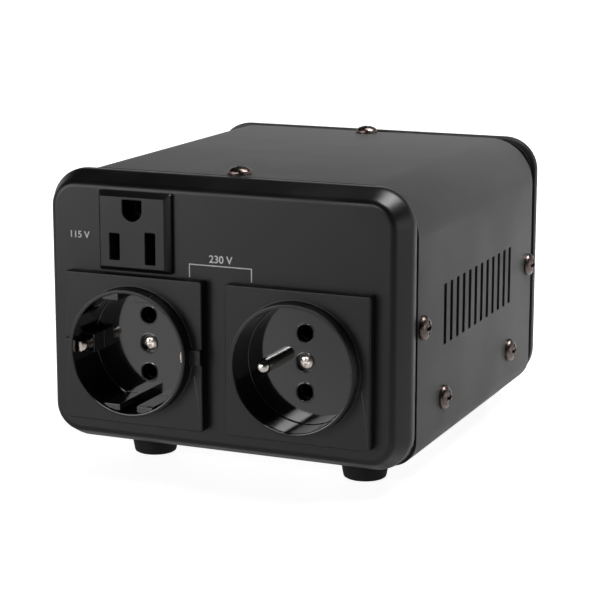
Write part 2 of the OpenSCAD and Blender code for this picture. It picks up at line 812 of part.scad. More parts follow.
// Slit tube that grips a round pin, with a tab behind the rear body
module contact_sleeve(floor_y, side) {
    y0 = floor_y + floor_t + free_gap;
    tab_z = sleeve_d / 2 - tab_t - close_gap;
    color([0.80, 0.62, 0.28]) translate([0, 0, side * pin_pitch / 2]) mirror([0, 0, side > 0 ? 0 : 1]) {
        difference() {
            y_rod(y0, sleeve_l, sleeve_d / 2);
            y_rod(y0 - over, sleeve_l + 2 * over, sleeve_bore / 2);
            translate([-slit_w / 2, y0 - over, -sleeve_d]) cube([slit_w, sleeve_l - slit_back, sleeve_d]);
        }
        translate([-tab_w / 2, y0 + sleeve_l - tab_in, tab_z])
            cube([tab_w, rear_body_l - sleeve_l - free_gap + tail_out + tab_in, tab_t]);
    }
}

module centre_screw(floor_y) {
    color([0.80, 0.78, 0.74]) translate([0, floor_y + screw_seat, 0]) rotate([90, 0, 0])
        pan_screw(small_screw_d, small_screw_l, small_head_d, small_head_h);
}

// German type socket

module german_guides() {
    r = german_recess_d / 2;
    block_w = (guide_w - guide_gap) / 2;
    intersection() {
        y_rod(-german_front + guide_back, german_depth - guide_back + over, r + over);
        for (sx = [0, 1], sz = [0, 1]) mirror([sx, 0, 0]) mirror([0, 0, sz])
            translate([guide_gap / 2, -german_front, r - guide_h])
                cube([block_w, german_depth + over, guide_h + over]);
    }
}

module german_face() {
    lip_r = german_recess_d / 2 + lip_t;
    rib_l = plate_w / 2 - lip_r + over;
    color([0.11, 0.11, 0.115]) at_german() difference() {
        union() {
            socket_shell(german_recess_d, german_lip, german_floor, german_cup_r);
            german_guides();
            for (s = [0, 1]) mirror([s, 0, 0])
                translate([lip_r - over, -plate_proud - rib_proud, -rib_h / 2])
                    cube([rib_l, rib_proud + over, rib_h]);
        }
        at_pins() y_rod(german_floor - over, floor_t + 2 * over, pin_hole_d / 2);
        for (s = [0, 1]) mirror([s, 0, 0])
            translate([clip_x - close_gap, german_floor - over, -strap_w / 2 - close_gap])
                cube([strap_t + 2 * close_gap, floor_t + 2 * over, strap_w + 2 * close_gap]);
    }
}

module german_rear_body() {
    y0 = german_floor + floor_t;
    color([0.75, 0.73, 0.68]) difference() {
        at_german() difference() {
            rear_body(german_floor, german_cup_r - body_step);
            y_box(2 * german_cup_r, y0 - over, strap_t + close_gap + over, strap_w + 2 * free_gap);
        }
        foot_nut_room();
    }
}

module german_line_sleeve() { at_german() contact_sleeve(german_floor, 1); }
module german_neutral_sleeve() { at_german() contact_sleeve(german_floor, -1); }
module german_screw() { at_german() centre_screw(german_floor); }

module german_earth_strap() {
    y0 = german_floor + floor_t;
    arm_end = -german_front + arm_back;
    color([0.82, 0.80, 0.76]) at_german() difference() {
        union() {
            y_box(2 * (clip_x + strap_t), y0, strap_t, strap_w);
            for (s = [0, 1]) mirror([s, 0, 0]) {
                translate([clip_x, arm_end, -strap_w / 2]) cube([strap_t, y0 + strap_t - arm_end, strap_w]);
                translate([clip_x, arm_end + 2 * bump_r, -strap_w / 2]) cylinder(h = strap_w, r = bump_r);
            }
        }
        y_rod(y0 - over, strap_t + 2 * over, small_screw_d / 2 + close_gap);
        for (s = [0, 1]) mirror([s, 0, 0])
            translate([clip_x + strap_t, arm_end - over, -strap_w])
                cube([2 * bump_r, 6 * bump_r, 2 * strap_w]);
    }
}

// French type socket

// Pin hole with one flat side
module french_pin_holes() {
    r = pin_hole_d / 2;
    flat = r - close_gap;
    at_pins() intersection() {
        y_rod(french_floor - over, floor_t + 2 * over, r);
        translate([-2 * r, french_floor - 2 * over, -2 * r]) cube([2 * r + flat, floor_t + 4 * over, 4 * r]);
    }
}

module french_face() {
    color([0.11, 0.11, 0.115]) at_french() difference() {
        socket_shell(french_recess_d, french_lip, french_floor, french_cup_r);
        french_pin_holes();
        translate([-earth_pin_x, 0, 0])
            y_rod(french_floor - over, floor_t + 2 * over, earth_neck_d / 2 + run_gap);
    }
}

module french_rear_body() {
    y0 = french_floor + floor_t;
    color([0.75, 0.73, 0.68]) difference() {
        at_french() difference() {
            rear_body(french_floor, french_cup_r - body_step);
            translate([-earth_pin_x, 0, 0]) {
                y_rod(y0 - over, earth_flange_t + close_gap + over, earth_flange_d / 2 + close_gap);
                y_rod(y0, rear_body_l + over, small_screw_d / 2 + close_gap);
            }
        }
        foot_nut_room();
    }
}

module french_line_sleeve() { at_french() contact_sleeve(french_floor, 1); }
module french_neutral_sleeve() { at_french() contact_sleeve(french_floor, -1); }
module french_screw() { at_french() centre_screw(french_floor); }

module french_earth_pin() {
    y0 = french_floor + floor_t;
    r = earth_pin_d / 2;
    tip = -french_front + earth_pin_back;
    color([0.82, 0.82, 0.80]) at_french() translate([-earth_pin_x, 0, 0]) {
        translate([0, tip + r, 0]) sphere(r);
        y_rod(tip + r, french_floor - tip - r, r);
        y_rod(french_floor - over, floor_t + over, earth_neck_d / 2);
        y_rod(y0, earth_flange_t, earth_flange_d / 2);
        y_rod(y0, rear_body_l + tail_out, small_screw_d / 2);
    }
}

// Transformer, centred on x = 0 and y = 0, standing on the base plate

module at_core_bolts(row) {
    for (s = [-1, 1]) translate([s * bolt_x, 0, core_mid_z + row * (core_h / 2 - core_side / 2)]) children();
}

module transformer_core() {
    color([0.33, 0.33, 0.35]) difference() {
        translate([0, 0, core_mid_z]) y_prism(-core_stack / 2, core_stack) difference() {
            square([core_w, core_h], center = true);
            for (s = [-1, 1]) translate([s * (core_leg / 2 + core_side / 2), 0])
                square([core_side, window_h], center = true);
        }
        for (row = [-1, 1]) at_core_bolts(row)
            y_rod(-core_stack / 2 - over, core_stack + 2 * over, bolt_d / 2 + close_gap);
    }
}

// Square ring around the middle leg, as an outline of given outer reach and wall
module leg_ring(reach, wall) {
    difference() {
        square([core_leg + 2 * reach, core_stack + 2 * reach], center = true);
        square([core_leg + 2 * (reach - wall), core_stack + 2 * (reach - wall)], center = true);
    }
}

module bobbin() {
    inner = free_gap;
    color([0.86, 0.84, 0.76]) translate([0, 0, core_mid_z - bobbin_h / 2]) {
        linear_extrude(bobbin_h) leg_ring(inner + bobbin_t, bobbin_t);
        for (z = [0, bobbin_h - bobbin_t]) translate([0, 0, z])
            linear_extrude(bobbin_t) leg_ring(bobbin_reach, bobbin_reach - inner);
    }
}

module winding() {
    reach = bobbin_reach - winding_back;
    color([0.72, 0.38, 0.20]) translate([0, 0, core_mid_z - winding_h / 2])
        linear_extrude(winding_h) leg_ring(reach, reach - free_gap - bobbin_t);
}

module winding_wrap() {
    color([0.90, 0.78, 0.30]) translate([0, 0, core_mid_z - winding_h / 2])
        linear_extrude(winding_h) leg_ring(bobbin_reach - winding_back + wrap_t, wrap_t);
}

module thermal_cutout() {
    face = core_stack / 2 + bobbin_reach - winding_back + wrap_t;
    color([0.85, 0.85, 0.83]) translate([0, face, core_mid_z]) y_prism(0, cutout_t)
        rounded(cutout_w, cutout_h, cutout_h / 3);
}

module angle_bracket() {
    len = core_w - 2 * bracket_end;
    front = core_stack / 2;
    difference() {
        union() {
            translate([-len / 2, front, deck_z]) cube([len, bracket_t, bracket_h]);
            translate([-len / 2, front, deck_z]) cube([len, bracket_t + bracket_foot, bracket_t]);
        }
        at_core_bolts(-1) y_rod(front - over, bracket_t + 2 * over, bolt_d / 2 + close_gap);
        for (s = [-1, 1]) translate([s * foot_screw_x, foot_screw_y, deck_z - over])
            cylinder(h = bracket_t + 2 * over, d = screw_d + 2 * run_gap);
    }
}

module bracket_front() { color([0.70, 0.70, 0.70]) mirror([0, 1, 0]) angle_bracket(); }
module bracket_rear() { color([0.70, 0.70, 0.70]) angle_bracket(); }

module core_bolts() {
    color([0.66, 0.66, 0.66]) for (row = [-1, 1]) {
        face = core_stack / 2 + (row < 0 ? bracket_t : 0);
        at_core_bolts(row) translate([0, -face, 0]) rotate([90, 0, 0])
            pan_screw(bolt_d, 2 * face + nut_h + thread_end, head_d, head_h);
    }
}

module core_nuts() {
    color([0.66, 0.66, 0.66]) for (row = [-1, 1]) {
        face = core_stack / 2 + (row < 0 ? bracket_t : 0);
        at_core_bolts(row) translate([0, face, 0]) rotate([-90, 0, 0]) hex_nut(bolt_d, nut_af, nut_h);
    }
}

module at_transformer_screws() {
    for (sx = [-1, 1], sy = [-1, 1]) translate([sx * foot_screw_x, sy * foot_screw_y, 0]) children();
}

module transformer_screws() {
    color([0.66, 0.66, 0.66]) at_transformer_screws() translate([0, 0, base_z]) rotate([180, 0, 0])
        pan_screw(screw_d, base_t + bracket_t + nut_h + thread_end, head_d, head_h);
}

module transformer_nuts() {
    color([0.66, 0.66, 0.66]) at_transformer_screws() translate([0, 0, deck_z + bracket_t])
        hex_nut(screw_d, nut_af, nut_h);
}

module at_earth_stud() {
    translate([-core_w / 2 - stud_out, foot_screw_y, 0]) children();
}

module earth_stud() {
    color([0.80, 0.68, 0.36]) at_earth_stud() {
        translate([0, 0, base_z]) rotate([180, 0, 0])
            pan_screw(screw_d, base_t + nut_h + stud_rise, head_d, head_h);
        translate([0, 0, deck_z]) difference() {
            cylinder(h = nut_h, d = nut_af / cos(30), $fn = 6);
            translate([0, 0, -over]) cylinder(h = nut_h + 2 * over, d = screw_d - 2 * run_gap);
        }
    }
}

// Mains inlet, in its own frame: y inwards from the rear plateau

module inlet_outline(w, h) {
    c = inlet_chamfer;
    polygon([
        [-w / 2, -h / 2], [w / 2, -h / 2], [w / 2, h / 2 - c], [w / 2 - c, h / 2], [c - w / 2, h / 2],
        [-w / 2, h / 2 - c]
    ]);
}

module at_inlet_pins() {
    for (s = [-1, 1]) translate([s * inlet_pin_pitch / 2, 0, -inlet_pin_drop]) children();
    translate([0, 0, inlet_pin_drop]) children();
}

module inlet_housing() {
    color([0.07, 0.07, 0.07]) at_inlet() difference() {
        union() {
            y_prism(-inlet_flange_t, inlet_flange_t) rounded(inlet_flange_w, inlet_flange_h, inlet_corner_r);
            y_box(inlet_body_w, -over, inlet_l + over, inlet_body_h);
        }
        y_prism(-inlet_flange_t - over, inlet_hollow_l + over) inlet_outline(inlet_hollow_w, inlet_hollow_h);
        at_inlet_pins() y_box(inlet_pin_w + 2 * run_gap, 0, inlet_l + over, inlet_pin_h + 2 * run_gap);
        for (s = [-1, 1]) translate([s * inlet_screw_pitch / 2, 0, 0])
            y_rod(-inlet_flange_t - over, inlet_flange_t + 2 * over, inlet_small_d / 2 + close_gap);
    }
}

module inlet_pins() {
    y0 = -inlet_flange_t + inlet_pin_back;
    color([0.80, 0.80, 0.78]) at_inlet() at_inlet_pins() {
        y_box(inlet_pin_w, y0, inlet_l + over - y0, inlet_pin_h);
        y_box(tab_t, inlet_l + free_gap, blade_tab_l - free_gap, blade_tab_w);
    }
}

module inlet_screws() {
    grip = inlet_flange_t + panel_t + inlet_nut_h + thread_end;
    color([0.75, 0.75, 0.74]) at_inlet() for (s = [-1, 1])
        translate([s * inlet_screw_pitch / 2, -inlet_flange_t, 0]) rotate([90, 0, 0])
            pan_screw(inlet_small_d, grip, inlet_head_d, inlet_head_h);
}

module inlet_nuts() {
    color([0.75, 0.75, 0.74]) at_inlet() for (s = [-1, 1])
        translate([s * inlet_screw_pitch / 2, panel_t, 0]) rotate([-90, 0, 0])
            hex_nut(inlet_small_d, inlet_nut_af, inlet_nut_h);
}

// Power switch

module switch_housing() {
    color([0.06, 0.06, 0.06]) at_switch() difference() {
        union() {
            y_prism(-bezel_t, bezel_t) rounded(switch_w, switch_h, bezel_r);
            y_box(switch_body_w, -over, switch_l + over, switch_body_h);
        }
        y_box(rocker_win_w, -bezel_t - over, bezel_t + switch_hollow + over, rocker_win_h);
        translate([0, pivot_y, 0]) x_rod(-switch_w, 2 * switch_w, pivot_r + run_gap);
        at_switch_tabs()
            y_box(blade_tab_w + 2 * run_gap, switch_hollow - over, switch_l, tab_t + 2 * run_gap);
    }
}

module switch_rocker() {
    reach = rocker_win_h / 2;
    color([0.05, 0.05, 0.05]) at_switch() translate([0, pivot_y, 0]) rotate([rocker_swing / 2, 0, 0])
        translate([0, -pivot_y, 0]) {
            intersection() {
                x_prism(-rocker_w / 2, rocker_w) polygon([
                    [-rocker_end, -reach], [-rocker_mid, 0], [-rocker_end, reach],
                    [rocker_back, reach], [rocker_back, -reach]
                ]);
                translate([0, pivot_y, 0]) x_rod(-rocker_w, 2 * rocker_w, rocker_r);
            }
            translate([0, pivot_y, 0]) x_rod(-switch_body_w / 2, switch_body_w, pivot_r);
        }
}

module at_switch_tabs() {
    for (sx = [-1, 1], sz = [-1, 1]) translate([sx * switch_tab_x, 0, sz * switch_tab_z]) children();
}

module switch_terminals() {
    y0 = switch_hollow + tab_step;
    color([0.80, 0.62, 0.28]) at_switch() at_switch_tabs()
        y_box(blade_tab_w, y0, switch_l + blade_tab_l - y0, tab_t);
}

// Voltage selector

module selector_housing() {
    front = selector_bezel_t + over;
    color([0.08, 0.08, 0.08]) at_selector() difference() {
        union() {
            y_prism(-selector_bezel_t, selector_bezel_t)
                rounded(selector_body_w + 2 * selector_bezel, selector_body_h + 2 * selector_bezel, bezel_r);
            y_box(selector_body_w, -over, selector_l + over, selector_body_h);
        }
        y_box(selector_win_w, -front, front + selector_hollow, selector_win_h);
    }
}

module selector_slider() {
    rest_x = -selector_travel / 2;
    color([0.75, 0.10, 0.08]) at_selector() translate([rest_x, 0, 0]) difference() {
        y_box(selector_knob_w, knob_back, selector_hollow - knob_back - free_gap, selector_knob_h);
        y_box(notch_w, 0, knob_back + notch_d, selector_knob_h - notch_w);
    }
}

// Fuse holder

module fuse_holder() {
    contact_y = fuse_in + fuse_l + free_gap;
    color([0.06, 0.06, 0.06]) at_fuse() {
        difference() {
            union() {
                y_rod(-fuse_flange_t, fuse_flange_t, fuse_flange_d / 2);
                y_rod(-over, fuse_holder_l + over, fuse_tube_d / 2);
            }
            y_rod(-fuse_flange_t - over, fuse_flange_t + fuse_holder_l - fuse_end_t + over, fuse_bore / 2);
        }
        y_rod(contact_y, fuse_holder_l - contact_y, fuse_d / 2 - free_gap);
        y_box(blade_tab_w, fuse_holder_l - over, blade_tab_l + over, tab_t);
    }
}

module fuse_holder_nut() {
    color([0.08, 0.08, 0.08]) at_fuse() translate([0, panel_t, 0]) rotate([-90, 0, 0])
        hex_nut(fuse_tube_d, fuse_nut_af, fuse_nut_h);
}

module fuse_cap() {
    head_y = -fuse_flange_t - free_gap - cap_h;
    color([0.07, 0.07, 0.07]) at_fuse() difference() {
        union() {
            y_rod(head_y, cap_h, cap_d / 2);
            y_rod(
                head_y + cap_h - over, free_gap + fuse_flange_t + cap_stem_l + over, fuse_bore / 2 - free_gap
            );
        }
        y_rod(fuse_in - run_gap, cap_stem_l, fuse_d / 2 + run_gap);
        y_box(cap_slot_w, head_y - over, cap_slot_d + over, cap_slot_h);
        for (a = [0:30:330]) rotate([0, a, 0]) translate([cap_d / 2 + flute_out, 0, 0])
            y_rod(head_y - over, cap_h + over - flute_end, flute_r);
    }
}

module fuse_cartridge() {
    color([0.80, 0.80, 0.78]) at_fuse() {
        for (y = [fuse_in, fuse_in + fuse_l - fuse_end_l]) y_rod(y, fuse_end_l, fuse_d / 2);
        y_rod(fuse_in + over, fuse_l - 2 * over, fuse_d / 2 - fuse_glass_in);
    }
}

// Wires

function unit(v) = v / norm(v);
// Point on the smooth curve through p, a share t of the way from point i to the next
function curve_at(p, i, t) =
    let(a = p[max(i - 1, 0)], b = p[i], c = p[i + 1], d = p[min(i + 2, len(p) - 1)])
    b + t / 2 * (c - a + t * (2 * a - 5 * b + 4 * c - d + t * (3 * (b - c) + d - a)));
function smooth(p) = concat(
    [for (i = [0:len(p) - 2], k = [0:wire_steps - 1]) curve_at(p, i, k / wire_steps)],
    [p[len(p) - 1]]
);
// Headings along the smooth route q, square to what the ends of p meet
function headings(q, p) = concat(
    [unit(p[1] - p[0])],
    [for (i = [1:len(q) - 2]) unit(q[i + 1] - q[i - 1])],
    [unit(p[len(p) - 1] - p[len(p) - 2])]
);
// Side vectors carried along the headings h without twist
function carried(h, side, i = 0) =
    i == len(h) ? [] : let(u = unit(side - (side * h[i]) * h[i])) concat([u], carried(h, u, i + 1));

module wire(p) {
    q = smooth(p);
    h = headings(q, p);
    steep = abs(h[0][2]) > 0.9;
    u = carried(h, steep ? [1, 0, 0] : [0, 0, 1]);
    n = wire_sides;
    last = n * (len(q) - 1);
    points = [
        for (i = [0:len(q) - 1], k = [0:n - 1]) let(a = 360 * k / n)
            q[i] + wire_d / 2 * (cos(a) * u[i] + sin(a) * cross(h[i], u[i]))
    ];
    walls = [
        for (i = [0:len(q) - 2], k = [0:n - 1]) let(a = i * n + k, b = i * n + (k + 1) % n)
            each [[a, b + n, b], [a, a + n, b + n]]
    ];
    caps = [for (k = [1:n - 2]) each [[0, k, k + 1], [last, last + k + 1, last + k]]];
    polyhedron(points, concat(walls, caps));
}

// Route from a, heading along u, to b, which is left along v, by way of points given as
// [share of the way, distance from the straight line]
function route(a, u, b, v, via) =
    let(p = a + wire_lead * u, q = b + wire_lead * v)
    concat([a, p], [for (w = via) p + w[0] * (q - p) + w[1]], [q, b]);
function plain(shares) = [for (t = shares) [t, [0, 0, 0]]];

// Ends of the wires on the front contacts, the winding's wrap and the rear fittings
front = [0, -1, 0];
rear = [0, 1, 0];
wrap_y = core_stack / 2 + bobbin_reach - winding_back + wrap_t + wire_gap;
function on_wrap(x, side, z) = [x, side * wrap_y, core_mid_z + z];
sleeve_tab_z = mid_z + socket_z + pin_pitch / 2 + sleeve_d / 2 - close_gap - tab_t / 2;
sleeve_tab_y = front_y + floor_t + rear_body_l + tail_out + wire_gap;
blade_end = [
    (blade_pitch - socket_pitch) / 2, front_y + outlet_l + blade_tab_l + wire_gap, mid_z + outlet_z + slot_z
];
german_end = [-socket_pitch / 2, sleeve_tab_y + german_floor, sleeve_tab_z];
french_end = [socket_pitch / 2, sleeve_tab_y + french_floor, sleeve_tab_z];
inlet_end = [
    inlet_x - case_w / 2 - inlet_pin_pitch / 2, rear_y - inlet_l - blade_tab_l - wire_gap,
    foot_show + inlet_z - inlet_pin_drop
];
inlet_earth_end = inlet_end + [inlet_pin_pitch / 2, 0, 2 * inlet_pin_drop];
fuse_side_end = [case_w / 2 - fuse_x - fuse_tube_d / 2 - wire_gap, inlet_end[1], foot_show + fuse_z];
fuse_tab_end = [
    case_w / 2 - fuse_x, rear_y - fuse_holder_l - blade_tab_l / 2, foot_show + fuse_z + tab_t / 2 + wire_gap
];
switch_end = [
    case_w / 2 - switch_x, rear_y - switch_l - blade_tab_l - wire_gap, foot_show + switch_z - switch_tab_z
];
selector_end = [selector_x - case_w / 2, rear_y - selector_l - wire_gap, foot_show + selector_z];
stud_end = [-core_w / 2 - stud_out, foot_screw_y, deck_z + nut_h + stud_rise + wire_gap];

module outlet_wires() {
    color([0.75, 0.12, 0.10]) {
        wire(route(blade_end, rear, on_wrap(-join_near_x, -1, join_high_z), front, plain([0.35, 0.8])));
        wire(route(german_end, rear, on_wrap(-join_far_x, -1, join_low_z), front, plain([0.35, 0.75])));
        wire(route(french_end, rear, on_wrap(join_far_x, -1, join_low_z), front, plain([0.35, 0.75])));
    }
}
module inlet_wire() {
    color([0.45, 0.25, 0.12]) wire(route(inlet_end, front, fuse_side_end, [-1, 0, 0], [
        [0.03, [0, -3, -5]], [0.13, [0, -4, -10]], [0.4, [0, -4.5, -11.5]], [0.72, [0, -5, -11.5]],
        [0.87, [0, -3.5, -9]], [0.96, [0, -1, -2]]
    ]));
}
module earth_wire() {
    color([0.35, 0.60, 0.20]) wire(route(inlet_earth_end, front, stud_end, [0, 0, 1], [
        [0.25, [1, -3, 0]], [0.65, [1, -2.5, 0.8]], [0.93, [-0.4, -0.6, 1.2]]
    ]));
}
module fuse_wire() {
    color([0.45, 0.25, 0.12])
        wire(route(fuse_tab_end, [0, 0, 1], switch_end + [switch_tab_x, 0, 0], front, [
            [0.35, [0.5, -2, 0]], [0.75, [0.5, -3.5, -1]]
        ]));
}
module switch_wire() {
    start = switch_end - [switch_tab_x, 0, 0];
    color([0.10, 0.10, 0.10])
        wire(route(start, front, on_wrap(join_far_x, 1, join_high_z), rear, plain([0.35, 0.65])));
}
module selector_wire() {
    color([0.15, 0.30, 0.70])
        wire(route(selector_end, front, on_wrap(-join_far_x, 1, join_high_z), rear, plain([0.33, 0.75])));
}

front_panel();
rear_panel();
cover();
base_plate();
cover_side_screws();
cover_top_screws();
base_screws();
foot_front_left();
foot_front_right();
foot_rear_left();
foot_rear_right();
foot_screws();
foot_nuts();
outlet_housing();
outlet_line_contact();
outlet_neutral_contact();
outlet_earth_contact();
german_face();
german_rear_body();
german_line_sleeve();
german_neutral_sleeve();
german_earth_strap();
german_screw();
french_face();
french_rear_body();
french_line_sleeve();
french_neutral_sleeve();
french_earth_pin();
french_screw();
transformer_core();
bobbin();
winding();
winding_wrap();
thermal_cutout();
bracket_front();
bracket_rear();
core_bolts();
core_nuts();
transformer_screws();
transformer_nuts();
inlet_housing();
inlet_pins();
inlet_screws();
inlet_nuts();
switch_housing();
switch_rocker();
switch_terminals();
selector_housing();
selector_slider();
fuse_holder();
fuse_holder_nut();
fuse_cap();
fuse_cartridge();
earth_stud();
outlet_wires();
inlet_wire();
earth_wire();
fuse_wire();
switch_wire();
selector_wire();
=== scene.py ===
import math

import bmesh
import bpy
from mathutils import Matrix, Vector


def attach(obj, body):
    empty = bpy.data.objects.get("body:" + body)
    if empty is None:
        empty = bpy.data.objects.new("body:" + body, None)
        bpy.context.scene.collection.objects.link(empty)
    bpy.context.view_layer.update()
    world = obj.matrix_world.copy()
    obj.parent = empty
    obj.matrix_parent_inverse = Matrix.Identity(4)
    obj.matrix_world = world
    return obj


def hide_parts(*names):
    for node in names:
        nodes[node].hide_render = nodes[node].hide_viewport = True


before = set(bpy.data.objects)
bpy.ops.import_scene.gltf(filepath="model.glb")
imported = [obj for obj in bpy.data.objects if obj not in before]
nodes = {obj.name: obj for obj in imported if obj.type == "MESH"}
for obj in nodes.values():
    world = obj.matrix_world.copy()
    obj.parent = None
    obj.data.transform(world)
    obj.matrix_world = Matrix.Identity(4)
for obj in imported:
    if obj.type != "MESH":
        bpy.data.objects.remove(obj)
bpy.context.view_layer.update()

# Desktop voltage converter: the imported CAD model, dressed. Metres, in the CAD frame.

scene = bpy.context.scene
MM = 0.001

# Sizes in millimetres. They follow the CAD, apart from the shoulder, the shadow step, the guards and the clips'
# beads, which are fitted to the photograph.

# Mouldings: a plateau at each end, the shoulder round it, and the rim behind that
CASE_W, CASE_H, CORNER_R = 125.4, 89.6, 12.0
LOW_Z = 7.0
MID_Z = LOW_Z + CASE_H / 2
FRONT_Y, REAR_Y = -72.65, 71.95
SHOULDER_W, SHOULDER_D = 3.5, 7.0
BROW_R, EDGE_R = 2.6, 4.6
RIM_D, RIM_WALL = 10.2, 4.0
RIM_ROUND = ((0, -0.35), (0.12, -0.1), (0.4, 0))  # inset, and depth from the rim's end
STEP_IN, STEP_D = 1.4, 1.8
PANEL_T = 3.0

# Skirts of the mouldings, under the cover
SKIRT_HALF, SKIRT_TOP, SKIRT_LOW = 61.1, 95.0, 21.0
SKIRT_R, SKIRT_T, SKIRT_L = 14.7, 2.4, 12.0

# Cover, its screw holes and its vents
COVER_HALF, COVER_TOP, COVER_LOW = 62.4, 96.3, 7.3
COVER_R, COVER_LOW_R, COVER_T = 16.0, 8.6, 1.0
COVER_IN = 12.4  # from a plateau to the cover's end
HOLE_R = 2.2
EDGE_SCREW = 4.4  # from the cover's end
LOW_SCREW_Y, LOW_SCREW_Z = 35.0, LOW_Z + 17.6
VENTS, VENT_PITCH = 12, 6.2
VENT_W, VENT_H, VENT_R = 2.6, 20.0, 0.3

# Feet
FOOT_IN = 21.0  # from a plateau
FOOT_LEFT_X, FOOT_RIGHT_X = -33.7, 41.9
FOOT_PROFILE = (  # radius and height
    (3.95, 0), (5.9, 0), (6.45, 0.08), (6.85, 0.35), (7.05, 0.9), (7.85, 5.4),
    (8.0, 6.2), (8.0, 12), (2.05, 12), (2.05, 4.6), (3.95, 4.6),
)

# Round sockets. Depths count inwards from the front plateau
SOCKET_X, SOCKET_Z = 28.5, 40.2
PLATE_W, PLATE_T, PLATE_R = 49.0, 3.8, 0.9
PLATE_ROUND = ((0, 0.4), (0.12, 0.12), (0.4, 0))  # inset, and depth from the plate's face
LIP_T = 1.3
FLOOR_T = 2.6
PIN_Z, PIN_R = 9.5, 2.7
PIN_LIP = ((0, 1.2), (-0.12, 1.13), (-0.12, 1.06), (0.15, 1.0), (FLOOR_T, 1.0))  # depth from the floor, and scale
SCREW_SEAT = ((3.45, 0), (3.2, -0.1), (3.1, 0.1), (3.1, 1.4), (1.65, 1.4), (1.65, FLOOR_T))  # radius and depth

# Earth clips of the German type socket
CLIP_HALF = 1.65
CLIP_IN, CLIP_OUT = 17.9, 18.9
CLIP_END, CLIP_ROOT, STRAP_T = -5.6, 11.0, 1.0
BEAD_Y, BEAD_L, BEAD_LIFT = -2.0, 3.6, 1.8
CLIP_SLOT_X, CLIP_SLOT_W, CLIP_SLOT_H = 18.4, 1.3, 4.9

# Square outlet
OUTLET_Z = 78.5
OUTLET_BODY = (  # width, corner and depth
    (25.8, 0.7, 0), (25.8, 0.7, -1.15), (25.6, 0.65, -1.36), (22.95, 0.45, -3.14), (22.6, 0.3, -3.3),
)
STEM_W, STEM_R, STEM_L = 24.3, 0.4, 22
OUTLET_CUT = ((-3.3, 1.06), (-3.12, 1.0), (STEM_L, 1.0))  # depth and scale
BLADE_X, BLADE_Z, BLADE_W, BLADE_R = 6.35, -4.8, 3.6, 0.35
BLADE_SHORT, BLADE_LONG = 8.5, 10.1
EARTH_Z, EARTH_R, EARTH_CORNER = 7.1, 3.4, 0.25

# Printing
INK_T, INK_SPREAD = 0.03, 0.06
LINE_W, LINE_T = 0.35, 0.05
BRACKET_LEFT, BRACKET_RIGHT, BRACKET_LOW, BRACKET_TOP = -10.1, 11.8, 65.2, 69.55


# Mesh helpers

def piece(bm, name, materials, sharp=32):
    """A finished mesh object from bm, smooth apart from its sharp edges and flat faces, riding on the box."""
    mesh = bpy.data.meshes.new(name)
    bm.to_mesh(mesh)
    bm.free()
    ob = bpy.data.objects.new(name, mesh)
    scene.collection.objects.link(ob)
    for m in materials:
        mesh.materials.append(m)
    smooth = [p.use_smooth for p in mesh.polygons]
    mesh.set_sharp_from_angle(angle=math.radians(sharp))
    mesh.polygons.foreach_set("use_smooth", smooth)
    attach(ob, "box")
    return ob


def add_loop(bm, points):
    return [bm.verts.new(Vector(p) * MM) for p in points]


def skin(bm, loops, closed=True):
    """Quads between neighbouring loops of equal length."""
    for a, b in zip(loops, loops[1:]):
        n = len(a)
        for i in range(n if closed else n - 1):
            j = (i + 1) % n
            bm.faces.new((a[i], a[j], b[j], b[i])).smooth = True


def loop_edges(bm, loop):
    found = []
    for a, b in zip(loop, loop[1:] + loop[:1]):
        e = bm.edges.get((a, b))
        found.append(e or bm.edges.new((a, b)))
    return found


def fill(bm, *loops):
    """Flat face between an outer loop and the holes inside it."""
    edges = [e for loop in loops for e in loop_edges(bm, loop)]
    made = bmesh.ops.triangle_fill(bm, use_beauty=True, use_dissolve=False, edges=edges)["geom"]
    for f in made:
        if isinstance(f, bmesh.types.BMFace):
            f.smooth = False


def rounded_rect(w, h, r, y, x=0.0, z=0.0, steps=10):
    points = []
    for cx, cz, start in ((1, 1, 0), (-1, 1, 90), (-1, -1, 180), (1, -1, 270)):
        for i in range(steps + 1):
            a = math.radians(start + 90 * i / steps)
            points.append((
                x + cx * (w / 2 - r) + r * math.cos(a), y, z + cz * (h / 2 - r) + r * math.sin(a)
            ))
    return points


def circle(r, y, x=0.0, z=0.0, n=48):
    return [
        (x + r * math.cos(2 * math.pi * i / n), y, z + r * math.sin(2 * math.pi * i / n)) for i in range(n)
    ]


def clean_normals(bm):
    bmesh.ops.recalc_face_normals(bm, faces=bm.faces)


# Materials

CLOUD_LOW, CLOUD_HIGH = 0.3, 0.7  # the part of the noise that the tone and the roughness span
LEAST_ROUGH = 0.02


def tree_of(name):
    m = bpy.data.materials.new(name)
    m.use_nodes = True
    t = m.node_tree
    return m, t, t.nodes["Principled BSDF"]


def link(t, a, out, b, into):
    t.links.new(a.outputs[out], b.inputs[into])


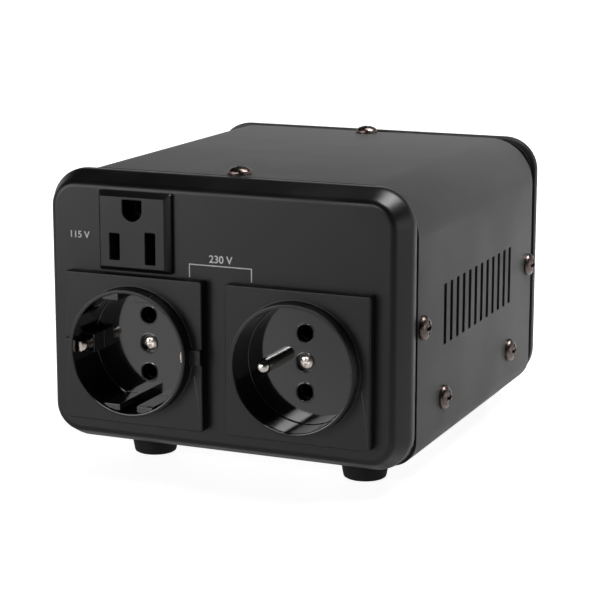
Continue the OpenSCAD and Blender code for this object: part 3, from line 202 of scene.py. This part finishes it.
def surface(
    name, color, rough, metallic=0.0, specular=0.5, tone=0.12, tone_scale=60.0, rough_span=0.06,
    grain=0.1, grain_scale=3000.0, grain_depth=0.00002, edge=0.0003, stretch=(1, 1, 1),
):
    """Solid material: clouded tone, clouded roughness, fine grain and softened edges."""
    m, t, shader = tree_of(name)
    shader.inputs["Metallic"].default_value = metallic
    shader.inputs["Specular IOR Level"].default_value = specular
    place = t.nodes.new("ShaderNodeTexCoord")
    scale = t.nodes.new("ShaderNodeMapping")
    scale.inputs["Scale"].default_value = stretch
    link(t, place, "Object", scale, "Vector")
    cloud = t.nodes.new("ShaderNodeTexNoise")
    cloud.inputs["Scale"].default_value = tone_scale
    cloud.inputs["Detail"].default_value = 5
    link(t, scale, "Vector", cloud, "Vector")
    ramp = t.nodes.new("ShaderNodeValToRGB")
    dark, light = ramp.color_ramp.elements
    dark.position, light.position = CLOUD_LOW, CLOUD_HIGH
    dark.color = [c * (1 - tone) for c in color] + [1]
    light.color = [min(1, c * (1 + tone)) for c in color] + [1]
    link(t, cloud, "Fac", ramp, "Fac")
    link(t, ramp, "Color", shader, "Base Color")
    span = t.nodes.new("ShaderNodeMapRange")
    span.inputs["From Min"].default_value = CLOUD_LOW
    span.inputs["From Max"].default_value = CLOUD_HIGH
    span.inputs["To Min"].default_value = max(LEAST_ROUGH, rough - rough_span)
    span.inputs["To Max"].default_value = rough + rough_span
    link(t, cloud, "Fac", span, "Value")
    link(t, span, "Result", shader, "Roughness")
    fine = t.nodes.new("ShaderNodeTexNoise")
    fine.inputs["Scale"].default_value = grain_scale
    fine.inputs["Detail"].default_value = 2
    link(t, scale, "Vector", fine, "Vector")
    bump = t.nodes.new("ShaderNodeBump")
    bump.inputs["Strength"].default_value = grain
    bump.inputs["Distance"].default_value = grain_depth
    link(t, fine, "Fac", bump, "Height")
    if edge:
        bevel = t.nodes.new("ShaderNodeBevel")
        bevel.samples = 6
        bevel.inputs["Radius"].default_value = edge
        link(t, bevel, "Normal", bump, "Normal")
    link(t, bump, "Normal", shader, "Normal")
    return m


moulding_plastic = surface(
    "moulding_plastic", (0.0035, 0.0035, 0.0037), 0.37,
    tone=0.2, grain=0.25, grain_scale=5200, edge=0.0,
)
# Nearly black, matte and weakly reflecting: painted shade for the joint behind each rim and for the skirts seen
# through it.
painted_shade_plastic = surface(
    "painted_shade_plastic", (0.003, 0.003, 0.003), 0.62,
    specular=0.2, tone=0.2, grain=0.25, grain_scale=5200, edge=0.0,
)
plate_plastic = surface(
    "plate_plastic", (0.006, 0.006, 0.0063), 0.36,
    tone=0.2, grain=0.25, grain_scale=5200,
)
gloss_plastic = surface(
    "gloss_plastic", (0.006, 0.006, 0.0065), 0.08,
    specular=1.0, tone=0.2, rough_span=0.03, grain=0.05, grain_scale=900, edge=0.00025,
)
cover_paint = surface(
    "cover_paint", (0.058, 0.0565, 0.056), 0.50,
    specular=0.42, tone=0.06, tone_scale=30, grain=0.35, grain_scale=2600, grain_depth=0.00003,
)
# Nearly black: painted shade for the walls of the cover's openings and its cut ends, which lie in the shade of
# the narrow slots and of the gap behind each rim.
painted_shade_edge = surface(
    "painted_shade_edge", (0.004, 0.004, 0.004), 0.6,
    tone=0.2, edge=0.0,
)
screw_oxide = surface(
    "screw_oxide", (0.17, 0.135, 0.123), 0.27,
    metallic=1.0, tone=0.3, tone_scale=900, grain=0.2,
)
socket_screw = surface(
    "socket_screw", (0.95, 0.83, 0.76), 0.22,
    metallic=1.0, tone=0.15, tone_scale=900, grain_scale=2500, edge=0.0002,
)
clip_nickel = surface(
    "clip_nickel", (0.95, 0.80, 0.72), 0.28,
    metallic=1.0, tone=0.15, tone_scale=500, rough_span=0.08, grain_scale=2500, edge=0.0,
)
nickel = surface(
    "nickel", (0.86, 0.83, 0.79), 0.14,
    metallic=1.0, tone=0.08, tone_scale=500, rough_span=0.08, grain_scale=2500, edge=0.0002,
)
zinc_steel = surface(
    "zinc_steel", (0.52, 0.53, 0.54), 0.36,
    metallic=1.0, tone_scale=300, rough_span=0.1, grain=0.15,
)
foot_rubber = surface(
    "foot_rubber", (0.005, 0.005, 0.005), 0.68,
    specular=0.35, tone=0.25, tone_scale=200, grain=0.4, grain_scale=3200, edge=0.0004,
)
fitting_plastic = surface(
    "fitting_plastic", (0.014, 0.014, 0.015), 0.30,
    tone=0.2, grain=0.15, grain_scale=4200, edge=0.0004,
)
insulator = surface("insulator", (0.55, 0.52, 0.45), 0.5, tone=0.08, grain=0.2)
bobbin_plastic = surface("bobbin_plastic", (0.70, 0.67, 0.56), 0.45, tone=0.06, grain=0.15)
# Brass darkened nearly to black: painted shade for the contacts deep in the pin holes.
contact_brass = surface(
    "contact_brass", (0.03, 0.022, 0.012), 0.45,
    metallic=1.0, tone_scale=260, rough_span=0.1,
)
core_steel = surface(
    "core_steel", (0.09, 0.09, 0.10), 0.5,
    metallic=0.6, tone=0.4, tone_scale=4, grain=0.5, grain_scale=60, grain_depth=0.0001, stretch=(1, 33, 1),
)
winding_wire = surface(
    "winding_wire", (0.42, 0.16, 0.06), 0.3,
    metallic=0.8, tone=0.35, tone_scale=6, grain=0.6, grain_scale=40, grain_depth=0.0002, stretch=(1, 1, 30),
)
tape = surface("tape", (0.72, 0.55, 0.12), 0.35, tone=0.1, tone_scale=80, grain=0.2, grain_scale=500)
slider_plastic = surface("slider_plastic", (0.42, 0.020, 0.014), 0.32, grain=0.15)
print_white = surface("print_white", (0.80, 0.80, 0.79), 0.5, tone_scale=900, grain=0.2, edge=0.0)
wire_colors = {
    "wire_red": (0.45, 0.02, 0.015),
    "wire_brown": (0.13, 0.055, 0.025),
    "wire_green": (0.10, 0.30, 0.03),
    "wire_black": (0.012, 0.012, 0.012),
    "wire_blue": (0.02, 0.06, 0.36),
}
wires = {
    name: surface(name, color, 0.4, tone=0.15, tone_scale=120, grain=0.15, edge=0.0)
    for name, color in wire_colors.items()
}

by_slot = {
    "moulding_plastic": moulding_plastic, "cover_paint": cover_paint, "zinc_steel": zinc_steel,
    "dark_steel": screw_oxide, "foot_rubber": foot_rubber, "socket_plastic": plate_plastic,
    "insulator": insulator, "contact_brass": contact_brass, "nickel": nickel, "core_steel": core_steel,
    "bobbin_plastic": bobbin_plastic, "winding_wire": winding_wire, "tape": tape,
    "fitting_plastic": fitting_plastic, "slider_plastic": slider_plastic, "fuse_metal": nickel, **wires,
}


# CAD nodes that stay take their slot's material

for ob in nodes.values():
    for s in ob.material_slots:
        key = s.material.name.split(".")[0] if s.material else ""
        s.material = by_slot.get(key, fitting_plastic)
for name in ("german_screw", "french_screw"):
    nodes[name].material_slots[0].material = socket_screw


# End mouldings, with a smooth shoulder

def moulding(name, node, plane, inward, holes):
    """Moulding whose plateau lies at y = plane; inward is +1 at the front and -1 at the rear."""
    bm = bmesh.new()

    def ring(inset, depth):
        return add_loop(bm, rounded_rect(
            CASE_W - 2 * inset, CASE_H - 2 * inset, CORNER_R - inset, plane + inward * depth, 0, MID_Z, 14
        ))

    steps = 8
    tilt = math.atan2(SHOULDER_D, SHOULDER_W)
    brow = BROW_R * math.tan(tilt / 2)
    edge = EDGE_R * math.tan(math.pi / 4 - tilt / 2)
    profile = []
    for i in range(steps + 1):
        a = tilt * i / steps
        profile.append((SHOULDER_W + brow - BROW_R * math.sin(a), BROW_R * (1 - math.cos(a))))
    for i in range(steps + 1):
        a = tilt + (math.pi / 2 - tilt) * i / steps
        profile.append((EDGE_R * (1 - math.sin(a)), SHOULDER_D + edge - EDGE_R * math.cos(a)))
    profile += [(inset, RIM_D + depth) for inset, depth in RIM_ROUND] + [(STEP_IN, RIM_D)]
    joint = [(STEP_IN, RIM_D + STEP_D), (RIM_WALL, RIM_D + STEP_D), (RIM_WALL, PANEL_T)]
    outside = [ring(*p) for p in profile]
    inside = outside[-1:] + [ring(*p) for p in joint]
    skin(bm, outside)
    # From here on, the faces of the step and of the inside behind the rim take the second material, nearly black
    # and matte: painted shade for the deep joint between the rim and the cover.
    material_split = len(bm.faces)
    skin(bm, inside)
    bm.faces.ensure_lookup_table()
    for f in bm.faces[material_split:]:
        f.material_index = 1
    cut = [add_loop(bm, [(x, plane, z) for x, z in h]) for h in holes]
    fill(bm, outside[0], *cut)
    back = [add_loop(bm, [(x, plane + inward * PANEL_T, z) for x, z in h]) for h in holes]
    fill(bm, inside[-1], *back)
    for a, b in zip(cut, back):
        skin(bm, [a, b])
    clean_normals(bm)
    ob = piece(bm, name, [moulding_plastic, painted_shade_plastic])
    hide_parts(node)


def arch(half, low, top, r, n=14):
    points = [(-half, low)]
    for i in range(n + 1):
        a = math.pi - math.pi / 2 * i / n
        points.append((-half + r + r * math.cos(a), top - r + r * math.sin(a)))
    for i in range(n + 1):
        a = math.pi / 2 - math.pi / 2 * i / n
        points.append((half - r + r * math.cos(a), top - r + r * math.sin(a)))
    points.append((half, low))
    return points


def skirt(name, y0, y1):
    """Closed sheet folded to an inverted U."""
    bm = bmesh.new()
    outer = arch(SKIRT_HALF, SKIRT_LOW, SKIRT_TOP, SKIRT_R)
    inner = arch(SKIRT_HALF - SKIRT_T, SKIRT_LOW, SKIRT_TOP - SKIRT_T, SKIRT_R - SKIRT_T)
    loops = [
        add_loop(bm, [(x, y, z) for x, z in line])
        for line, y in ((outer, y0), (outer, y1), (inner, y1), (inner, y0))
    ]
    skin(bm, loops + loops[:1], closed=False)
    for i in (0, -1):
        bm.faces.new([loop[i] for loop in loops])
    clean_normals(bm)
    # Nearly black and matte: painted shade where the skirt shows through the joint behind the rim.
    piece(bm, name, [painted_shade_plastic])


def flat_circle(r, x, z, n=64):
    return [(p[0], p[2]) for p in circle(r, 0, x, z, n)]


def flat_rect(w, h, x, z):
    return [(x - w / 2, z - h / 2), (x + w / 2, z - h / 2), (x + w / 2, z + h / 2), (x - w / 2, z + h / 2)]


# Each cut-out is a little larger than the CAD fitting that goes through it
outlet_cut = flat_rect(24.4, 24.4, -SOCKET_X, OUTLET_Z)
german_cut = flat_circle(22.1, -SOCKET_X, SOCKET_Z)
french_cut = flat_circle(22.3, SOCKET_X, SOCKET_Z)
inlet_cut = flat_rect(27.9, 20.3, -30, 35)
switch_cut = flat_rect(21.9, 27.3, 33, 68)
selector_cut = flat_rect(24.3, 11.7, -30, 70)
fuse_cut = flat_circle(6.35, 40, 34)
moulding("front_moulding", "front_panel", FRONT_Y, 1, [outlet_cut, german_cut, french_cut])
moulding("rear_moulding", "rear_panel", REAR_Y, -1, [inlet_cut, switch_cut, selector_cut, fuse_cut])
skirt("front_skirt", FRONT_Y + RIM_D, FRONT_Y + RIM_D + SKIRT_L)
skirt("rear_skirt", REAR_Y - RIM_D - SKIRT_L, REAR_Y - RIM_D)


# Cover: a folded sheet with vent slots and screw holes, whose lower edges fold in under the case

def cover_sheet():
    bm = bmesh.new()
    fold, low_fold = COVER_TOP - COVER_R, COVER_LOW + COVER_LOW_R
    front, rear, mid = FRONT_Y + COVER_IN, REAR_Y - COVER_IN, (FRONT_Y + REAR_Y) / 2
    end_screws = (front + EDGE_SCREW, rear - EDGE_SCREW)
    hole_steps = 24

    def upright(points, x):
        return add_loop(bm, [(x, y, z) for y, z in points])

    # The two sides, each an outer and an inner face with the walls of the openings between them
    outline = [(front, fold), (rear, fold), (rear, low_fold), (front, low_fold)]
    vents = []
    for i in range(VENTS):
        y = mid + VENT_PITCH * (i - (VENTS - 1) / 2)
        vents.append([(q[0], q[2]) for q in rounded_rect(VENT_W, VENT_H, VENT_R, 0, y, MID_Z, 3)])
    holes = [flat_circle(HOLE_R, y, MID_Z, hole_steps) for y in end_screws]
    holes += [flat_circle(HOLE_R, mid + s * LOW_SCREW_Y, LOW_SCREW_Z, hole_steps) for s in (-1, 1)]
    cut_faces = []
    for side in (-1, 1):
        faces = []
        for x in (side * COVER_HALF, side * (COVER_HALF - COVER_T)):
            loops = [upright(q, x) for q in [outline] + vents + holes]
            fill(bm, *loops)
            faces.append(loops)
        first = len(bm.faces)
        for a, b in zip(faces[0][1:], faces[1][1:]):
            skin(bm, [a, b])
        cut_faces.append((first, len(bm.faces)))
        for i in (1, 3):
            skin(bm, [[face[0][i], face[0][(i + 1) % 4]] for face in faces], closed=False)

    # The top
    flat = COVER_HALF - COVER_R
    tops = []
    for lift in (0, COVER_T):
        z = COVER_TOP - lift
        loops = [add_loop(bm, [(-flat, front, z), (flat, front, z), (flat, rear, z), (-flat, rear, z)])]
        loops += [
            add_loop(bm, [(x, y, z) for x, y in flat_circle(HOLE_R, 0, screw_y, hole_steps)])
            for screw_y in end_screws
        ]
        fill(bm, *loops)
        tops.append(loops)
    for a, b in zip(tops[0][1:], tops[1][1:]):
        skin(bm, [a, b])
    for i in (0, 2):
        skin(bm, [tops[0][0][i:i + 2], tops[1][0][i:i + 2]], closed=False)

    # The bends above and below each side
    steps = 14
    turns = [math.pi / 2 * i / steps for i in range(steps + 1)]
    bends = ((fold, COVER_R, 1), (low_fold, COVER_LOW_R, -1))
    for side in (-1, 1):
        for level, radius, up in bends:
            rings = []
            for r in (radius, radius - COVER_T):
                arc = [
                    (side * (COVER_HALF - radius + r * math.cos(a)), level + up * r * math.sin(a))
                    for a in turns
                ]
                rings += [add_loop(bm, [(x, y, z) for x, z in arc]) for y in (front, rear)]
            around = [rings[0], rings[1], rings[3], rings[2]]
            skin(bm, around + around[:1], closed=False)
            if up < 0:
                bm.faces.new([ring[-1] for ring in around])

    # The walls of the openings and the cut ends take the nearly black second material: painted shade for the
    # inside of the narrow slots and the gap behind each rim.
    bm.faces.ensure_lookup_table()
    for first, last in cut_faces:
        for f in bm.faces[first:last]:
            f.material_index = 1
    bmesh.ops.remove_doubles(bm, verts=bm.verts, dist=1e-6)
    clean_normals(bm)
    for f in bm.faces:
        if abs(f.normal.y) > 0.9:
            f.material_index = 1
    ob = piece(bm, "cover_sheet", [cover_paint, painted_shade_edge])
    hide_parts("cover")


cover_sheet()


# Feet, turned

def foot(name, x, y):
    bm = bmesh.new()
    n = 64
    loops = [
        add_loop(bm, [
            (x + r * math.cos(2 * math.pi * i / n), y + r * math.sin(2 * math.pi * i / n), z) for i in range(n)
        ])
        for r, z in FOOT_PROFILE
    ]
    skin(bm, loops + loops[:1])
    clean_normals(bm)
    ob = piece(bm, name + "_turned", [foot_rubber])
    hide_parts(name)


for row, y in (("front", FRONT_Y + FOOT_IN), ("rear", REAR_Y - FOOT_IN)):
    for side, x in (("left", FOOT_LEFT_X), ("right", FOOT_RIGHT_X)):
        foot("foot_%s_%s" % (row, side), x, y)


# Front outlets, built as moulded shells in their own frames: x and z from the middle, y inwards

def shell_loop(bm, points, x, z):
    return add_loop(bm, [(x + p[0], FRONT_Y + p[1], z + p[2]) for p in points])


def bevel_box(bm, lo, hi, b):
    """Box with all its edges cut by b."""
    made = bmesh.ops.create_cube(bm, size=1)["verts"]
    for v in made:
        v.co = Vector([MM * (hi[i] if v.co[i] > 0 else lo[i]) for i in range(3)])
    edges = {e for v in made for e in v.link_edges}
    bmesh.ops.bevel(bm, geom=list(edges), offset=b * MM, segments=2, profile=0.5, affect="EDGES")


def flatten_circle(r, flat, n=40):
    """Round outline with one flat side at x = flat."""
    return [
        (min(r * math.cos(2 * math.pi * i / n), flat), 0, r * math.sin(2 * math.pi * i / n)) for i in range(n)
    ]


def shift(points, x=0.0, y=0.0, z=0.0, grow=1.0):
    return [(x + grow * p[0], y + p[1], z + grow * p[2]) for p in points]


def socket_face(name, node, x, recess_r, lip, floor, cup_r, pin_hole, holes, blocks):
    """Square plate with a lipped round recess. Faces of the recess take the gloss material."""
    bm = bmesh.new()
    plate_y = -PLATE_T
    front, back = plate_y - lip, floor + FLOOR_T
    r, out = recess_r, recess_r + LIP_T

    def ring(rad, y):
        return shell_loop(bm, circle(rad, y, n=96), x, SOCKET_Z)

    # Plate and outside of the lip
    edge_profile = [(0, 0)] + [(d, plate_y + y) for d, y in PLATE_ROUND]
    edge = [
        shell_loop(bm, rounded_rect(PLATE_W - 2 * d, PLATE_W - 2 * d, PLATE_R - d, y, steps=6), x, SOCKET_Z)
        for d, y in edge_profile
    ]
    skin(bm, edge)
    wall = [ring(*q) for q in (
        (out + 0.35, plate_y), (out + 0.1, plate_y - 0.1), (out, plate_y - 0.35), (out, front + 0.35),
        (out - 0.09, front + 0.1), (out - 0.3, front), (r + 0.45, front),
    )]
    skin(bm, wall)
    fill(bm, edge[-1], wall[0])

    # Recess, with rings close to its edges that keep the shading of its wall even
    plain = len(bm.faces)
    inner = [wall[-1]] + [ring(*q) for q in (
        (r + 0.26, front + 0.04), (r + 0.09, front + 0.15), (r + 0.01, front + 0.32), (r, front + 0.5),
        (r, front + 0.9), (r, floor - 0.7), (r, floor - 0.3), (r - 0.07, floor - 0.08), (r - 0.25, floor),
    )]
    skin(bm, inner)
    openings = [
        [shell_loop(bm, shift(pin_hole, 0, floor + y, sign * PIN_Z, g), x, SOCKET_Z) for y, g in PIN_LIP]
        for sign in (-1, 1)
    ]
    openings.append([shell_loop(bm, circle(q, floor + y, n=40), x, SOCKET_Z) for q, y in SCREW_SEAT])
    openings += [
        [shell_loop(bm, shift(h, 0, floor + y), x, SOCKET_Z) for y in (0, FLOOR_T)] for h in holes
    ]
    for loops in openings:
        skin(bm, loops)
    fill(bm, inner[-1], *[loops[0] for loops in openings])
    material_split = len(bm.faces)

    # Back of the recess, behind the panel
    cup = [ring(cup_r, 0), ring(cup_r, back)]
    skin(bm, cup)
    fill(bm, edge[0], cup[0])
    fill(bm, cup[1], *[loops[-1] for loops in openings])
    bm.faces.ensure_lookup_table()
    for f in bm.faces[plain:material_split]:
        f.material_index = 1
    clean_normals(bm)

    for lo, hi, b, gloss in blocks:
        before = set(bm.faces)
        middle = (x, FRONT_Y, SOCKET_Z)
        bevel_box(bm, [m + v for m, v in zip(middle, lo)], [m + v for m, v in zip(middle, hi)], b)
        for f in set(bm.faces) - before:
            f.material_index = gloss
    ob = piece(bm, name, [plate_plastic, gloss_plastic])
    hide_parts(node)


def on_side(side, near, far):
    """The ends of near to far on one side of the middle, the lower first."""
    return sorted((side * near, side * far))


def block(x, y, z, b, gloss):
    """One block of socket_face, from where it begins and ends along each axis."""
    return (x[0], y[0], z[0]), (x[1], y[1], z[1]), b, gloss


corners = ((-1, -1), (1, -1), (1, 1), (-1, 1))
clip_slots = [
    [(s * (CLIP_SLOT_X + dx * CLIP_SLOT_W / 2), 0, dz * CLIP_SLOT_H / 2) for dx, dz in corners]
    for s in (-1, 1)
]
guides = [
    block(on_side(s, 3.0, 8.7), (-7.8, 7.6), on_side(t, 17.0, 19.2), 0.2, 1)
    for s in (-1, 1) for t in (-1, 1)
]
guard_walls = ((16.7, 17.5, -3.1, 3.1), (17.3, 19.5, -3.1, -2.5), (17.3, 19.5, 2.5, 3.1))
guards = [
    block(on_side(s, near, far), (0.8, 7.5), (low, high), 0.15, 1)
    for s in (-1, 1) for near, far, low, high in guard_walls
]
ribs = [block(on_side(s, 20.5, 24.4), (-5.0, -3.4), (-2.5, 2.5), 0.2, 0) for s in (-1, 1)]
socket_face(
    "german_socket", "german_face", -SOCKET_X, recess_r=19.6, lip=5.0, floor=7.4, cup_r=21.8,
    pin_hole=circle(PIN_R, 0, n=40), holes=clip_slots, blocks=guides + guards + ribs,
)
socket_face(
    "french_socket", "french_face", SOCKET_X, recess_r=19.8, lip=4.7, floor=3.3, cup_r=22.0,
    pin_hole=flatten_circle(PIN_R, 2.55), holes=[shift(circle(1.86, 0, n=24), -10)], blocks=[],
)


def earth_clips():
    """Sprung strap of the German type socket, with a pressed bead on each arm."""
    bm = bmesh.new()
    rows, cols = 24, 12
    for s in (-1, 1):
        inner, outer = [], []
        for i in range(rows + 1):
            y = CLIP_END + (CLIP_ROOT - CLIP_END) * i / rows
            lift = math.sqrt(max(0.0, 1 - ((y - BEAD_Y) / BEAD_L) ** 2))
            line, backs = [], []
            for j in range(cols + 1):
                z = CLIP_HALF * (2 * j / cols - 1)
                crown = math.sqrt(max(0.0, 1 - (z / CLIP_HALF) ** 2))
                line.append((s * (CLIP_IN - BEAD_LIFT * lift * crown), y, z))
                backs.append((s * CLIP_OUT, y, z))
            inner.append(shell_loop(bm, line, -SOCKET_X, SOCKET_Z))
            outer.append(shell_loop(bm, backs, -SOCKET_X, SOCKET_Z))
        skin(bm, inner, closed=False)
        skin(bm, outer, closed=False)
        for a, b in ((inner[0], outer[0]), (inner[-1], outer[-1])):
            skin(bm, [a, b], closed=False)
        for k in (0, -1):
            skin(bm, [[q[k] for q in inner], [q[k] for q in outer]], closed=False)
    clean_normals(bm)
    bevel_box(
        bm, (-SOCKET_X - CLIP_OUT, FRONT_Y + CLIP_ROOT - STRAP_T, SOCKET_Z - CLIP_HALF),
        (-SOCKET_X + CLIP_OUT, FRONT_Y + CLIP_ROOT, SOCKET_Z + CLIP_HALF), 0.1,
    )
    ob = piece(bm, "earth_clips", [clip_nickel], sharp=45)
    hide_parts("german_earth_strap")


earth_clips()


def outlet_face():
    """Square outlet with chamfered sides, two blade slots and an earth hole."""
    bm = bmesh.new()
    body = [
        shell_loop(bm, rounded_rect(w, w, c, y, steps=5), -SOCKET_X, OUTLET_Z) for w, c, y in OUTLET_BODY
    ]
    skin(bm, body)
    steps = 14
    flat = EARTH_R - EARTH_CORNER
    earth = [(EARTH_R, 0, flat), (flat, 0, EARTH_R), (-flat, 0, EARTH_R), (-EARTH_R, 0, flat)]
    for i in range(steps + 1):
        a = math.pi * i / steps
        earth.append((-EARTH_R * math.cos(a), 0, -EARTH_R * math.sin(a)))
    openings = [
        (rounded_rect(BLADE_W, BLADE_SHORT, BLADE_R, 0, steps=3), -BLADE_X, BLADE_Z),
        (rounded_rect(BLADE_W, BLADE_LONG, BLADE_R, 0, steps=3), BLADE_X, BLADE_Z),
        (earth, 0, EARTH_Z),
    ]
    front, rear = [], []
    for outline, dx, dz in openings:
        cut = [shell_loop(bm, shift(outline, dx, y, dz, g), -SOCKET_X, OUTLET_Z) for y, g in OUTLET_CUT]
        skin(bm, cut)
        front.append(cut[0])
        rear.append(cut[-1])
    fill(bm, body[-1], *front)
    stem = [
        shell_loop(bm, rounded_rect(STEM_W, STEM_W, STEM_R, y, steps=5), -SOCKET_X, OUTLET_Z)
        for y in (0, STEM_L)
    ]
    skin(bm, stem)
    fill(bm, body[0], stem[0])
    fill(bm, stem[1], *rear)
    clean_normals(bm)
    ob = piece(bm, "square_outlet", [plate_plastic])
    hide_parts("outlet_housing")


outlet_face()


# Printed numbers and the bracket over the round sockets

def lettering(name, words, x, z, height):
    curve = bpy.data.curves.new(name, "FONT")
    curve.body = words
    curve.size = height * MM
    curve.align_x = "CENTER"
    curve.align_y = "CENTER"
    curve.extrude = INK_T * MM
    curve.offset = INK_SPREAD * MM
    curve.resolution_u = 6
    made = bpy.data.objects.new(name, curve)
    scene.collection.objects.link(made)
    made.rotation_euler = (math.pi / 2, 0, 0)
    made.location = (x * MM, (FRONT_Y - INK_T) * MM, z * MM)
    bpy.context.view_layer.update()
    mesh = bpy.data.meshes.new_from_object(made.evaluated_get(bpy.context.evaluated_depsgraph_get()))
    mesh.transform(made.matrix_world)
    bpy.data.objects.remove(made)
    ob = bpy.data.objects.new(name, mesh)
    scene.collection.objects.link(ob)
    mesh.materials.clear()
    mesh.materials.append(print_white)
    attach(ob, "box")


def bracket_line():
    bm = bmesh.new()
    bar_z = BRACKET_TOP - LINE_W
    for x0, x1, z0, z1 in (
        (BRACKET_LEFT, BRACKET_RIGHT, bar_z, BRACKET_TOP),
        (BRACKET_LEFT, BRACKET_LEFT + LINE_W, BRACKET_LOW, bar_z),
        (BRACKET_RIGHT - LINE_W, BRACKET_RIGHT, BRACKET_LOW, bar_z),
    ):
        bevel_box(bm, (x0, FRONT_Y - LINE_T, z0), (x1, FRONT_Y + LINE_T, z1), 0.01)
    piece(bm, "bracket_line", [print_white])


lettering("number_115", "115 V", -49.4, 76.0, 3.1)
lettering("number_230", "230 V", 1.0, 71.4, 3.4)
bracket_line()


# Camera

SENSOR_W = 36
FOCAL_PX, PICTURE_PX = 2016.5, 590
EYE, TARGET = Vector((0.2684, -0.6334, 0.1923)), Vector((0.02640, -0.07265, 0.06242))

cam = bpy.data.cameras.new("camera")
cam.sensor_width = SENSOR_W
cam.lens = SENSOR_W * FOCAL_PX / PICTURE_PX
cam.clip_start = 0.01
cam_ob = bpy.data.objects.new("camera", cam)
scene.collection.objects.link(cam_ob)
cam_ob.rotation_euler = (TARGET - EYE).to_track_quat("-Z", "Y").to_euler()
cam_ob.location = EYE
scene.camera = cam_ob


# Floor: pale grey for the light it throws back, white to the camera, and partly so in reflections

FLOOR_HALF = 3.0
FLOOR_TONE, FLOOR_ROUGH = 0.48, 0.4
GLOW_TONE, GLOW_REFLECTED = 0.90, 0.28

floor_bm = bmesh.new()
bmesh.ops.create_grid(floor_bm, x_segments=2, y_segments=2, size=FLOOR_HALF)
floor_mesh = bpy.data.meshes.new("floor")
floor_bm.to_mesh(floor_mesh)
floor_bm.free()
floor = bpy.data.objects.new("floor", floor_mesh)
scene.collection.objects.link(floor)
m, t, shader = tree_of("floor_white")
shader.inputs["Base Color"].default_value = (FLOOR_TONE, FLOOR_TONE, FLOOR_TONE, 1)
shader.inputs["Roughness"].default_value = FLOOR_ROUGH
glow = t.nodes.new("ShaderNodeEmission")
glow.inputs["Color"].default_value = (GLOW_TONE, GLOW_TONE, GLOW_TONE, 1)
path = t.nodes.new("ShaderNodeLightPath")
seen = t.nodes.new("ShaderNodeMath")
seen.operation = "MULTIPLY_ADD"
seen.inputs[1].default_value = GLOW_REFLECTED
link(t, path, "Is Glossy Ray", seen, 0)
link(t, path, "Is Camera Ray", seen, 2)
link(t, seen, "Value", glow, "Strength")
both = t.nodes.new("ShaderNodeAddShader")
link(t, shader, "BSDF", both, 0)
link(t, glow, "Emission", both, 1)
link(t, both, "Shader", t.nodes["Material Output"], "Surface")
floor_mesh.materials.append(m)


# World: white to the camera; for the object, bright near the horizon, dark overhead and dimmer towards the front

HORIZON_TONE, HORIZON_END = 0.62, 0.18
OVERHEAD_TONE, OVERHEAD_START = 0.012, 0.42
FRONT_DIM, FRONT_START, FRONT_END = 0.12, -0.75, 0.0

world = bpy.data.worlds.new("studio")
scene.world = world
world.use_nodes = True
t = world.node_tree
background = t.nodes["Background"]
place = t.nodes.new("ShaderNodeTexCoord")
split = t.nodes.new("ShaderNodeSeparateXYZ")
link(t, place, "Generated", split, "Vector")
sky = t.nodes.new("ShaderNodeValToRGB")
horizon, overhead = sky.color_ramp.elements
horizon.position, overhead.position = HORIZON_END, OVERHEAD_START
horizon.color = (HORIZON_TONE, HORIZON_TONE, HORIZON_TONE, 1)
overhead.color = (OVERHEAD_TONE, OVERHEAD_TONE, OVERHEAD_TONE, 1)
link(t, split, "Z", sky, "Fac")
front = t.nodes.new("ShaderNodeMapRange")
front.inputs["From Min"].default_value = FRONT_START
front.inputs["From Max"].default_value = FRONT_END
front.inputs["To Min"].default_value = FRONT_DIM
front.inputs["To Max"].default_value = 1.0
link(t, split, "Y", front, "Value")
dim = t.nodes.new("ShaderNodeVectorMath")
dim.operation = "SCALE"
link(t, sky, "Color", dim, 0)
link(t, front, "Result", dim, "Scale")
path = t.nodes.new("ShaderNodeLightPath")
pick = t.nodes.new("ShaderNodeMix")
pick.data_type = "RGBA"
link(t, path, "Is Camera Ray", pick, 0)
link(t, dim, "Vector", pick, 6)
pick.inputs[7].default_value = (1, 1, 1, 1)
link(t, pick, 2, background, "Color")


# Lamps

FRONT_AIM = (0, -0.07, 0.05)


def lamp(name, place, aim, size, power):
    light = bpy.data.lights.new(name, "AREA")
    light.shape = "RECTANGLE"
    light.size, light.size_y = size
    light.energy = power
    ob = bpy.data.objects.new(name, light)
    scene.collection.objects.link(ob)
    ob.location = place
    ob.rotation_euler = (Vector(aim) - Vector(place)).to_track_quat("-Z", "Y").to_euler()
    return light


lamp("key_left", (-0.62, -0.83, 0.22), FRONT_AIM, (0.60, 0.44), 2.65)
lamp("front_high", (-0.20, -1.07, 0.465), FRONT_AIM, (0.26, 0.13), 1.4)
top = lamp("top_back", (0.15, 0.20, 0.65), (-0.15, 0.45, 0.0), (0.36, 0.5), 4.7)
top.spread = math.radians(104)
lamp("right_low", (0.9, 0.0, 0.12), (0.06, 0, 0.05), (0.6, 0.24), 0.29)

scene.view_settings.view_transform = "Standard"
